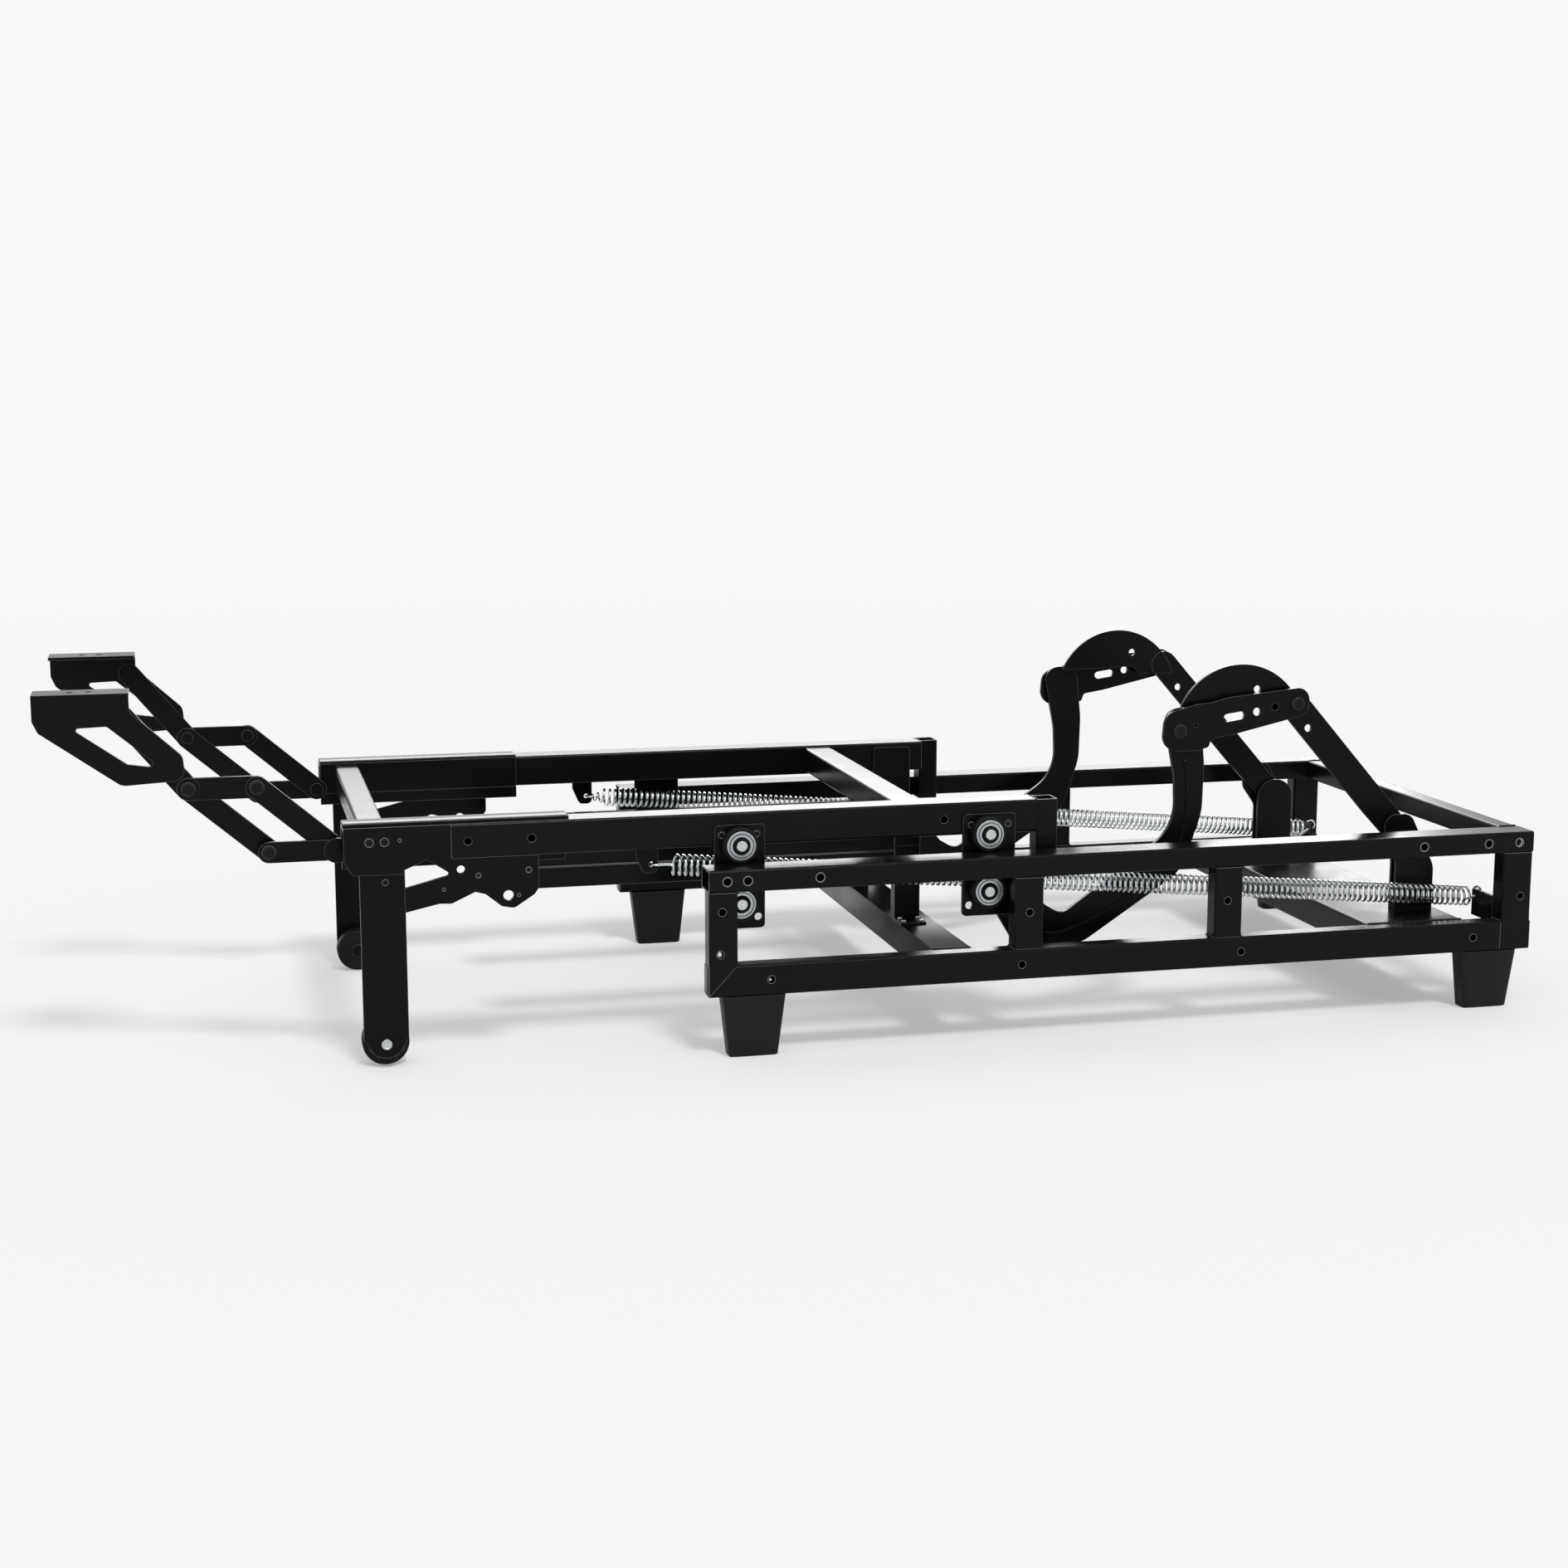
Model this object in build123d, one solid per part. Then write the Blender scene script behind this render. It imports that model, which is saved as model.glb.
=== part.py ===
from build123d import *
import math
import os

# Recliner mechanism. X runs across it, Y runs back from the footrest, Z is up.
# Lengths are millimetres. Y is counted from the middle of the base until the end,
# where everything moves together so that the whole stands centred on the origin.

# Base frame
BASE_LENGTH = 800.0
BASE_WIDTH = 475.0
FOOT_HEIGHT = 56.0
FRAME_HEIGHT = 114.0
UPPER_RAIL_WIDTH = 32.0
UPPER_RAIL_HEIGHT = 20.0
LOWER_RAIL_WIDTH = 20.0
LOWER_RAIL_HEIGHT = 28.0
FRONT_POST_DEPTH = 26.0
REAR_POST_DEPTH = 30.0
INNER_POST_DEPTH = 27.0
INNER_POST_PLACES = (-104.0, 90.0)
TUBE_WALL = 1.5
TUBE_CORNER = 2.5
HOLE_RADIUS = 3.5
UPPER_HOLES_FROM_FRONT = (16.5, 35.0, 100.5)
UPPER_HOLES_FROM_REAR = (15.0, 47.0, 114.0)
LOWER_HOLE_FROM_FRONT = 56.0
LOWER_HOLE_FROM_REAR = 59.0
LOWER_HOLES_FROM_POSTS = (-6.5, 13.5)
FRONT_MEMBER_PLACE = -183.0
FRONT_MEMBER_DEPTH = 62.0
REAR_MEMBER_INSET = 110.0
REAR_MEMBER_DEPTH = 100.0
REAR_TOP_RAIL_DEPTH = 20.0

# Holes of each post, as distances behind its front edge and above the lower rail
FRONT_POST_HOLES = ((12.0, 49.0), (10.0, 11.0))
FIRST_INNER_POST_HOLES = ((13.5, 34.0),)
SECOND_INNER_POST_HOLES = ((12.0, 35.0),)
REAR_POST_HOLES = ((18.5, 24.0),)

# Feet, tapering downwards
FOOT_LENGTH = 58.0
FOOT_WIDTH = 40.0
SOLE_LENGTH = 45.0
SOLE_WIDTH = 32.0
FOOT_CORNER = 4.0
FOOT_INSET = 12.0

# Plates and running clearances
PLATE = 3.0
ARM_PLATE = 4.0
SIDE_CLEARANCE = 5.5
LINK_GAP = 0.5
HEAD_GAP = 0.25
PIN_RADIUS = 4.0
PIN_CLEARANCE = 0.05
HEAD_RADIUS = 6.5
HEAD = 1.5

# Seat frame that slides on the base
SEAT_LENGTH = 555.0
SEAT_REAR = -64.0
SEAT_LIFT = 14.0
SEAT_RAIL_HEIGHT = 30.0
SEAT_RAIL_WIDTH = 30.0
SEAT_UPRIGHT_DEPTH = 20.0
SEAT_UPRIGHT_WIDTH = 22.0
SEAT_UPRIGHT_DROP = 32.0
FRONT_TUBE_REACH = 66.0
FRONT_TUBE_DEPTH = 24.0
FRONT_TUBE_HEIGHT = 22.0
REAR_TUBE_PLACE = -198.0
REAR_TUBE_DEPTH = 28.0
REAR_TUBE_HEIGHT = 25.0
SEAT_TUBE_DROP = 2.0
SEAT_HOLES_FROM_FRONT = (14.5, 70.0, 446.0)

# Rollers above and below the upper rails
ROLLER_RADIUS = 16.0
ROLLER_WIDTH = 11.0
ROLLER_GAP = 0.3
ROLLER_SIDE_GAP = 1.5
FRONT_ROLLER_PLACE = -365.0
REAR_ROLLER_PLACE = -134.0
ROLLER_PLATE_FRONT = 22.0
FRONT_ROLLER_PLATE_REAR = 24.0
REAR_ROLLER_PLATE_REAR = 28.0
ROLLER_PLATE_RISE = 33.5
ROLLER_PLATE_DROP = 41.0
ROLLER_PLATE_CORNER = 4.0
FRONT_ROLLER_PLATE_HOLE = 18.0
REAR_ROLLER_PLATE_HOLE = -15.5
ROLLER_PLATE_HOLE_RISE = 10.0

# Front plates and legs
FRONT_REACH = 92.0
SIDE_PLATE_INSET = 1.0
INNER_PLATE_OVERLAP = 104.0
INNER_PLATE_EAR = 11.0
FLANGE_NOTCH = (-31.0, -16.0)
FLANGE_NOTCH_DEPTH = 7.0
LEG_WIDTH = 39.0
LEG_REACH = 59.5
LEG_AXLE_HEIGHT = 21.0
LEG_TIP_HEIGHT = 3.0
WHEEL_RADIUS = 20.5
WHEEL_WIDTH = 18.0
WHEEL_SIDE_GAP = 4.0
WHEEL_EDGE = 2.0

# Footrest linkage, in the Y-Z plane
CROSSING_REACH = 96.0
CROSSING_RISE = 6.0
UPPER_LINK_LENGTH = 86.8
UPPER_LINK_ANGLE = 139.0
LOWER_LINK_LENGTH = 57.5
LOWER_LINK_ANGLE = 180.0
LINK_WIDTH = 27.0
FAR_CROSSING_CLEARANCE = 0.3
FRONT_LINK_REACH = (-52.5, 64.5)
FOOTREST_RISE = 20.5541
FOOTREST_LENGTH = 79.5
FOOTREST_FLANGE = 33.5
FOOTREST_REAR = 6.5
FLANGE_HOLES = (-42.5, -27.0)
FLANGE_HOLE_RADIUS = 3.3

# Back linkage, in the Y-Z plane
BACK_PIVOT = (65.0, 268.0)
STRUT_TOP = (184.0, 290.0)
STRUT_FOOT_INSET = 84.0
STRUT_FOOT_RISE = 56.0
STRUT_WIDTH = 28.0
STRUT_GAP = 3.0
DOME_CENTRE = (-54.0, -28.0)
DOME_RADIUS = 66.0
STRUT_BRACKET_WIDTH = 40.0
STRUT_BRACKET_SIDE_GAP = 1.5
BRACKET_SLOT = (54.5, 12.0)
BRACKET_SLOT_LENGTH = 21.0
BRACKET_SLOT_WIDTH = 7.5
BRACKET_SLOT_TURN = 8.0

# Drive posts and bars between the side frames
DRIVE_PLACE = 90.0
DRIVE_WIDTH = 12.0
DRIVE_POST_PLACE = -177.5
DRIVE_POST_DEPTH = 25.0
DRIVE_POST_HEIGHT = 79.0
DRIVE_BAR_HEIGHT = 20.0
DRIVE_BAR_DROP = 11.0
DRIVE_BAR_LENGTH = 355.0

# Springs, each between a tab under a seat rail and a tab on a rear post
SPRING_RADIUS = 10.0
SPRING_WIRE = 2.4
SPRING_FRONT_INSET = 178.0
SPRING_FRONT_DROP = 15.8
SPRING_REAR_INSET = 26.5
SPRING_REAR_RISE = 13.2
FRONT_HOOK = 25.0
REAR_HOOK = 9.5
HOOK_TAB_LENGTH = 20.0
HOOK_TAB_THICKNESS = 4.0
HOOK_TAB_REAR = 6.0
REAR_TAB_DROP = 19.0
REAR_TAB_RISE = 7.0

# Values that follow from the sizes above
SIDE = BASE_WIDTH / 2
RAIL_TOP = FOOT_HEIGHT + FRAME_HEIGHT
RAIL_UNDERSIDE = RAIL_TOP - UPPER_RAIL_HEIGHT
LOWER_RAIL_TOP = FOOT_HEIGHT + LOWER_RAIL_HEIGHT
BASE_REAR = BASE_LENGTH / 2
BASE_FRONT = -BASE_LENGTH / 2
RAIL_INNER = SIDE - UPPER_RAIL_WIDTH
LOWER_INNER = SIDE - LOWER_RAIL_WIDTH
SEAT_SIDE = RAIL_INNER - SIDE_CLEARANCE - PLATE
SEAT_INNER = SEAT_SIDE - SEAT_RAIL_WIDTH
SEAT_UNDERSIDE = RAIL_TOP + SEAT_LIFT
SEAT_TOP = SEAT_UNDERSIDE + SEAT_RAIL_HEIGHT
SEAT_FRONT = SEAT_REAR - SEAT_LENGTH
UPPER_ROLLER = RAIL_TOP + ROLLER_RADIUS + ROLLER_GAP
LOWER_ROLLER = RAIL_UNDERSIDE - ROLLER_RADIUS - ROLLER_GAP
ROLLER_INNER = SEAT_SIDE + PLATE + ROLLER_SIDE_GAP
ROLLER_OUTER = ROLLER_INNER + ROLLER_WIDTH
BORE_RADIUS = PIN_RADIUS + PIN_CLEARANCE
REAR_MEMBER_PLACE = BASE_REAR - REAR_MEMBER_INSET
STRUT_FOOT = (BASE_REAR - STRUT_FOOT_INSET, LOWER_RAIL_TOP + STRUT_FOOT_RISE)
LEG_PLACE = SEAT_FRONT - LEG_REACH
FRONT_TUBE_PLACE = SEAT_FRONT - FRONT_TUBE_REACH
CROSSING = (SEAT_FRONT - CROSSING_REACH, SEAT_UNDERSIDE + CROSSING_RISE)
SPRING_PLACE = (SEAT_INNER + SEAT_SIDE) / 2
SPRING_FRONT = (SEAT_FRONT + SPRING_FRONT_INSET, SEAT_UNDERSIDE - SPRING_FRONT_DROP)
SPRING_REAR = (BASE_REAR - SPRING_REAR_INSET, LOWER_RAIL_TOP + SPRING_REAR_RISE)
SIDE_PLATE_X = SEAT_SIDE - SIDE_PLATE_INSET - PLATE
LEG_X = SIDE_PLATE_X - PLATE

# Layers of the footrest linkage, counted inwards, each one plate and a gap thick
INNER_PLATE_X = SEAT_INNER - PLATE
LAYER_PITCH = PLATE + LINK_GAP
LOWER_LINK_X = INNER_PLATE_X - LAYER_PITCH
UPPER_LINK_X = LOWER_LINK_X - LAYER_PITCH
FRONT_LINK_X = UPPER_LINK_X - LAYER_PITCH
LONG_LINK_X = FRONT_LINK_X - LAYER_PITCH
FOOTREST_X = FRONT_LINK_X + PLATE

# Layers of the back linkage
ARM_X = SEAT_INNER - ARM_PLATE
BACK_BRACKET_X = SEAT_INNER + LINK_GAP
STRUT_X = ARM_X - STRUT_GAP - PLATE


def polar(start, length, angle):
    """Point at a distance and an angle from another, in the Y-Z plane."""
    turn = math.radians(angle)
    return (start[0] + length * math.cos(turn), start[1] + length * math.sin(turn))


UPPER_KNEE = polar(CROSSING, UPPER_LINK_LENGTH, UPPER_LINK_ANGLE)
LOWER_KNEE = polar(CROSSING, LOWER_LINK_LENGTH, LOWER_LINK_ANGLE)
FAR_CROSSING = polar(UPPER_KNEE, LOWER_LINK_LENGTH, LOWER_LINK_ANGLE)
FOOTREST_JOINT = (FAR_CROSSING[0] + FRONT_LINK_REACH[0], FAR_CROSSING[1] + FRONT_LINK_REACH[1])
FOOTREST_TOP = FOOTREST_JOINT[1] + FOOTREST_RISE


def block(x, y, z):
    """Solid block that fills three spans."""
    spans = (x, y, z)
    size = [high - low for low, high in spans]
    centre = [(low + high) / 2 for low, high in spans]
    return Pos(*centre) * Box(*size)


def tube(x, y, z, axis):
    """Rectangular tube that fills three spans and is open at both ends of one axis."""
    spans = (x, y, z)
    size = [high - low for low, high in spans]
    centre = [(low + high) / 2 for low, high in spans]
    wide, tall = [size[i] for i in range(3) if i != axis]
    profile = RectangleRounded(wide, tall, TUBE_CORNER)
    profile -= RectangleRounded(wide - 2 * TUBE_WALL, tall - 2 * TUBE_WALL, TUBE_CORNER - TUBE_WALL)
    plane = (Plane.YZ, Plane.XZ, Plane.XY)[axis]
    return Pos(*centre) * extrude(plane * profile, size[axis] / 2, both=True)


def outline(corners, origin=(0.0, 0.0)):
    """Closed shape through corners given from an origin as (y, z, corner radius)."""
    points = [(origin[0] + y, origin[1] + z) for y, z, radius in corners]
    radii = [radius for y, z, radius in corners]
    return make_face(FilletPolyline(*points, radius=radii, close=True))


def bar(start, end, width):
    """Flat bar with full-round ends about two points."""
    middle = ((start[0] + end[0]) / 2, (start[1] + end[1]) / 2)
    turn = math.degrees(math.atan2(end[1] - start[1], end[0] - start[0]))
    return Pos(*middle) * Rot(0, 0, turn) * SlotCenterToCenter(math.dist(start, end), width)


def disc(centre, radius, origin=(0.0, 0.0)):
    """Round hole or round head in the Y-Z plane, placed from an origin."""
    return Pos(origin[0] + centre[0], origin[1] + centre[1]) * Circle(radius)


def plate(shape, inner, thickness):
    """Plate cut to a shape of the Y-Z plane, growing outwards from its inner face."""
    return extrude(Plane.YZ.offset(inner) * shape, thickness)


def pin(centre, inner, outer, radius):
    """Round pin along X."""
    return plate(disc(centre, radius), inner, outer - inner)


def pivot(centre, inner, outer, inner_head, outer_head):
    """Pivot pin between two X positions, with heads of the given radii at its ends."""
    shaft = pin(centre, inner, outer, PIN_RADIUS)
    if inner_head:
        shaft += pin(centre, inner, inner + HEAD, inner_head)
    if outer_head:
        shaft += pin(centre, outer - HEAD, outer, outer_head)
    return shaft


def mirrored(part):
    """The same piece on the other side."""
    return mirror(part, about=Plane.YZ)


def pair(part):
    """A piece and its twin on the other side, as two solids."""
    return Compound([part, mirrored(part)])


def drilled(part, holes, inner, outer):
    """Take round holes along X out of a piece."""
    for centre in holes:
        part -= pin(centre, inner, outer, HOLE_RADIUS)
    return part


# Base frame pieces


def upper_rail():
    """Long rail that the rollers run on."""
    rail = tube((RAIL_INNER, SIDE), (BASE_FRONT, BASE_REAR), (RAIL_UNDERSIDE, RAIL_TOP), 1)
    height = (RAIL_UNDERSIDE + RAIL_TOP) / 2
    holes = [(BASE_FRONT + inset, height) for inset in UPPER_HOLES_FROM_FRONT]
    holes += [(BASE_REAR - inset, height) for inset in UPPER_HOLES_FROM_REAR]
    return drilled(rail, holes, SIDE - 2 * TUBE_WALL, SIDE + TUBE_WALL)


def lower_rail():
    """Long rail that stands on the feet."""
    rail = tube((LOWER_INNER, SIDE), (BASE_FRONT, BASE_REAR), (FOOT_HEIGHT, LOWER_RAIL_TOP), 1)
    height = (FOOT_HEIGHT + LOWER_RAIL_TOP) / 2
    places = [BASE_FRONT + LOWER_HOLE_FROM_FRONT, BASE_REAR - LOWER_HOLE_FROM_REAR]
    places += [place + step for place, step in zip(INNER_POST_PLACES, LOWER_HOLES_FROM_POSTS)]
    holes = [(place, height) for place in places]
    return drilled(rail, holes, SIDE - 2 * TUBE_WALL, SIDE + TUBE_WALL)


def frame_posts():
    """Four uprights between the two rails of one side."""
    half = INNER_POST_DEPTH / 2
    first, second = INNER_POST_PLACES
    posts = [
        (BASE_FRONT, BASE_FRONT + FRONT_POST_DEPTH, FRONT_POST_HOLES),
        (first - half, first + half, FIRST_INNER_POST_HOLES),
        (second - half, second + half, SECOND_INNER_POST_HOLES),
        (BASE_REAR - REAR_POST_DEPTH, BASE_REAR, REAR_POST_HOLES),
    ]
    uprights = []
    for front, rear, steps in posts:
        post = tube((LOWER_INNER, SIDE), (front, rear), (LOWER_RAIL_TOP, RAIL_UNDERSIDE), 2)
        holes = [(front + back, LOWER_RAIL_TOP + rise) for back, rise in steps]
        uprights.append(drilled(post, holes, SIDE - 2 * TUBE_WALL, SIDE + TUBE_WALL))
    return Compound(uprights)


def cross_member(place, depth):
    """Wide tube between the two lower rails."""
    span = (place - depth / 2, place + depth / 2)
    return tube((-LOWER_INNER, LOWER_INNER), span, (FOOT_HEIGHT, LOWER_RAIL_TOP), 0)


def rear_top_rail():
    """Tube that ties the rear ends of the two upper rails."""
    span = (BASE_REAR - REAR_TOP_RAIL_DEPTH, BASE_REAR)
    return tube((-RAIL_INNER, RAIL_INNER), span, (RAIL_UNDERSIDE, RAIL_TOP), 0)


def foot(place):
    """Tapered foot under a lower rail."""
    top = RectangleRounded(FOOT_WIDTH, FOOT_LENGTH, FOOT_CORNER)
    sole = RectangleRounded(SOLE_WIDTH, SOLE_LENGTH, FOOT_CORNER)
    body = loft([sole, Pos(0, 0, FOOT_HEIGHT) * top])
    return Pos(SIDE - FOOT_WIDTH / 2, place, 0) * body


def feet():
    """The four feet."""
    reach = BASE_LENGTH / 2 - FOOT_INSET - FOOT_LENGTH / 2
    front = foot(-reach)
    rear = foot(reach)
    return Compound([front, rear, mirrored(front), mirrored(rear)])


def drive_post():
    """Upright on the front cross member that anchors a drive bar."""
    across = (DRIVE_PLACE - DRIVE_WIDTH / 2, DRIVE_PLACE + DRIVE_WIDTH / 2)
    along = (DRIVE_POST_PLACE - DRIVE_POST_DEPTH / 2, DRIVE_POST_PLACE + DRIVE_POST_DEPTH / 2)
    return block(across, along, (LOWER_RAIL_TOP, LOWER_RAIL_TOP + DRIVE_POST_HEIGHT))


def drive_bar():
    """Long bar that runs forward from the drive post."""
    rear = DRIVE_POST_PLACE - DRIVE_POST_DEPTH / 2
    top = LOWER_RAIL_TOP + DRIVE_POST_HEIGHT - DRIVE_BAR_DROP
    across = (DRIVE_PLACE - DRIVE_WIDTH / 2, DRIVE_PLACE + DRIVE_WIDTH / 2)
    return tube(across, (rear - DRIVE_BAR_LENGTH, rear), (top - DRIVE_BAR_HEIGHT, top), 1)


def strut_bracket():
    """Foot plate with a round-topped ear and a taller ear, the strut's foot between them."""
    half = STRUT_BRACKET_WIDTH / 2
    place, height = STRUT_FOOT
    base = LOWER_RAIL_TOP - height
    ear = outline([
        (-half, base, 0),
        (half, base, 0),
        (half, half, half - 1),
        (-half, half, half - 1),
    ], STRUT_FOOT)
    tall_ear = outline([
        (-half, base, 0),
        (half, base, 0),
        (half, -14.0, 20),
        (-6.0, 38.0, 12),
        (-33.0, 38.0, 12),
        (-34.0, 12.0, 12),
        (-half, -8.0, 12),
    ], STRUT_FOOT)
    inner = STRUT_X - STRUT_BRACKET_SIDE_GAP - PLATE
    outer = STRUT_X + PLATE + STRUT_BRACKET_SIDE_GAP
    along = (place - half, place + half)
    sole = block((inner, outer + PLATE), along, (LOWER_RAIL_TOP, LOWER_RAIL_TOP + PLATE))
    return plate(ear, inner, PLATE) + plate(tall_ear, outer, PLATE) + sole


def rear_spring_tab():
    """Tab on the inner face of the rear post, holed for the rear hook of a spring."""
    place, height = SPRING_REAR
    across = (SPRING_PLACE - 2 * SPRING_WIRE, LOWER_INNER)
    along = (place - PLATE / 2, place + PLATE / 2)
    tab = block(across, along, (height - REAR_TAB_DROP, height + REAR_TAB_RISE))
    hole = Pos(SPRING_PLACE, place, height) * Rot(90, 0, 0) * Cylinder(SPRING_WIRE, 2 * PLATE)
    return tab - hole


# Sliding seat frame pieces


def seat_rail():
    """Side rail of the seat frame."""
    span = (SEAT_FRONT, SEAT_REAR - SEAT_UPRIGHT_DEPTH)
    rail = tube((SEAT_INNER, SEAT_SIDE), span, (SEAT_UNDERSIDE, SEAT_TOP), 1)
    height = (SEAT_UNDERSIDE + SEAT_TOP) / 2
    holes = [(SEAT_FRONT + inset, height) for inset in SEAT_HOLES_FROM_FRONT]
    return drilled(rail, holes, SEAT_SIDE - 2 * TUBE_WALL, SEAT_SIDE + TUBE_WALL)


def seat_upright():
    """Short upright that closes the rear end of a seat rail."""
    span = (SEAT_REAR - SEAT_UPRIGHT_DEPTH, SEAT_REAR)
    across = (SEAT_SIDE - SEAT_UPRIGHT_WIDTH, SEAT_SIDE)
    return tube(across, span, (SEAT_UNDERSIDE - SEAT_UPRIGHT_DROP, SEAT_TOP), 2)


def seat_tube(place, depth, height, reach):
    """Cross tube between the two sides of the seat frame."""
    top = SEAT_TOP - SEAT_TUBE_DROP
    span = (place - depth / 2, place + depth / 2)
    return tube((-reach, reach), span, (top - height, top), 0)


def side_plate():
    """Front side plate: a face beyond the rail, a lobed brace under it and a top flange."""
    corner = (SEAT_FRONT, SEAT_UNDERSIDE)
    face = outline([
        (-FRONT_REACH, SEAT_RAIL_HEIGHT, 2),
        (0.0, SEAT_RAIL_HEIGHT, 0),
        (0.0, 0.0, 0),
        (76.0, 0.0, 0),
        (76.0, -29.0, 3),
        (72.0, -35.0, 3),
        (54.0, -46.5, 6),
        (43.0, -44.5, 5),
        (29.0, -33.0, 4),
        (20.0, -30.5, 2),
        (-0.5, -40.0, 6),
        (-11.0, -39.5, 5),
        (-41.0, -46.0, 0),
        (-41.0, -12.0, 0),
        (-85.0, -11.5, 6),
        (-FRONT_REACH, 1.0, 3),
    ], corner)
    window = outline([
        (-42.0, -9.0, 0),
        (-21.0, 0.0, 2),
        (0.0, -14.0, 2),
        (-42.0, -24.5, 0),
    ], corner)
    face -= window
    face -= disc((8.0, -10.0), HOLE_RADIUS, corner)
    face -= disc((49.0, -35.0), HOLE_RADIUS + 1, corner)
    across = (SEAT_INNER, SIDE_PLATE_X)
    top = (SEAT_TOP - PLATE, SEAT_TOP)
    flange = block(across, (SEAT_FRONT - FRONT_REACH, SEAT_FRONT), top)
    notch_across = (SIDE_PLATE_X - FLANGE_NOTCH_DEPTH, SIDE_PLATE_X)
    notch_along = (SEAT_FRONT + FLANGE_NOTCH[0], SEAT_FRONT + FLANGE_NOTCH[1])
    return plate(face, SIDE_PLATE_X, PLATE) + flange - block(notch_across, notch_along, top)


def inner_plate():
    """Plate along the inner face of a seat rail, with the first pivot of the footrest."""
    face = outline([
        (-FRONT_REACH, SEAT_RAIL_HEIGHT, 2),
        (INNER_PLATE_OVERLAP, SEAT_RAIL_HEIGHT, 2),
        (INNER_PLATE_OVERLAP, 0.0, 2),
        (-FRONT_REACH, 0.0, 2),
    ], (SEAT_FRONT, SEAT_UNDERSIDE))
    face += disc(CROSSING, INNER_PLATE_EAR)
    body = plate(face, INNER_PLATE_X, PLATE)
    end = UPPER_LINK_X - HEAD_GAP - HEAD
    return body + pivot(CROSSING, end, INNER_PLATE_X, HEAD_RADIUS, 0)


def front_leg():
    """Front leg plate with a drawn-in round tip, and the stub axle of its wheel."""
    half = LEG_WIDTH / 2
    shape = outline([
        (-half, SEAT_TOP - PLATE, 0),
        (half, SEAT_TOP - PLATE, 0),
        (half, LEG_AXLE_HEIGHT + 5, 3),
        (4.5, LEG_TIP_HEIGHT, 7),
        (-4.5, LEG_TIP_HEIGHT, 7),
        (-half, LEG_AXLE_HEIGHT + 5, 3),
    ], (LEG_PLACE, 0.0))
    axle = (LEG_PLACE, LEG_AXLE_HEIGHT)
    end = LEG_X - WHEEL_SIDE_GAP - WHEEL_WIDTH - HEAD_GAP - HEAD
    return plate(shape, LEG_X, PLATE) + pivot(axle, end, LEG_X, HEAD_RADIUS, 0)


def leg_wheel():
    """Small wheel behind the tip of a front leg."""
    axle = (LEG_PLACE, LEG_AXLE_HEIGHT)
    outer = LEG_X - WHEEL_SIDE_GAP
    body = pin(axle, outer - WHEEL_WIDTH, outer, WHEEL_RADIUS)
    body = fillet(body.edges().filter_by(GeomType.CIRCLE), WHEEL_EDGE)
    return body - pin(axle, outer - WHEEL_WIDTH, outer, BORE_RADIUS)


def roller_plate(place, rear, hole):
    """Plate on the seat rail with one axle above and one below the upper rail."""
    top = RAIL_TOP + ROLLER_PLATE_RISE
    low = RAIL_UNDERSIDE - ROLLER_PLATE_DROP
    shape = outline([
        (place - ROLLER_PLATE_FRONT, top, ROLLER_PLATE_CORNER),
        (place + rear, top, ROLLER_PLATE_CORNER),
        (place + rear, low, ROLLER_PLATE_CORNER),
        (place - ROLLER_PLATE_FRONT, low, ROLLER_PLATE_CORNER),
    ])
    shape -= disc((place + hole, low + ROLLER_PLATE_HOLE_RISE), HOLE_RADIUS)
    face = SEAT_SIDE + PLATE
    body = plate(shape, SEAT_SIDE, PLATE)
    for height in (UPPER_ROLLER, LOWER_ROLLER):
        centre = (place, height)
        body += pivot(centre, face, ROLLER_OUTER + HEAD_GAP + HEAD, 0, HEAD_RADIUS)
        body += pin(centre, face, ROLLER_INNER - HEAD_GAP, HEAD_RADIUS)
    return body


def roller(place, height):
    """Turned roller: a rim, a shallow groove and a raised hub."""
    half = ROLLER_WIDTH / 2
    profile = Polyline(
        (BORE_RADIUS, -half),
        (ROLLER_RADIUS - 1, -half),
        (ROLLER_RADIUS, 1 - half),
        (ROLLER_RADIUS, half - 1),
        (ROLLER_RADIUS - 1, half),
        (ROLLER_RADIUS - 4, half),
        (ROLLER_RADIUS - 5, half - 1.5),
        (ROLLER_RADIUS - 7.5, half - 1.5),
        (ROLLER_RADIUS - 8.5, half),
        (BORE_RADIUS, half),
        close=True,
    )
    turned = revolve(make_face(profile), Axis.Y)
    return Pos(ROLLER_INNER + half, place, height) * Rot(0, 0, -90) * turned


def hook_tab():
    """Tab under a seat rail, holed for the front hook of a spring."""
    drop = SPRING_FRONT[1] - SEAT_UNDERSIDE
    front = HOOK_TAB_REAR - HOOK_TAB_LENGTH
    shape = outline([
        (front, 0.0, 0),
        (HOOK_TAB_REAR, 0.0, 0),
        (HOOK_TAB_REAR, drop - 8.0, 5),
        (front + 7.0, drop - 8.0, 5),
        (front, drop + 8.0, 3),
    ], (SPRING_FRONT[0], SEAT_UNDERSIDE))
    shape -= disc(SPRING_FRONT, SPRING_WIRE)
    return plate(shape, SPRING_PLACE - HOOK_TAB_THICKNESS / 2, HOOK_TAB_THICKNESS)


# Back linkage pieces


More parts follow.
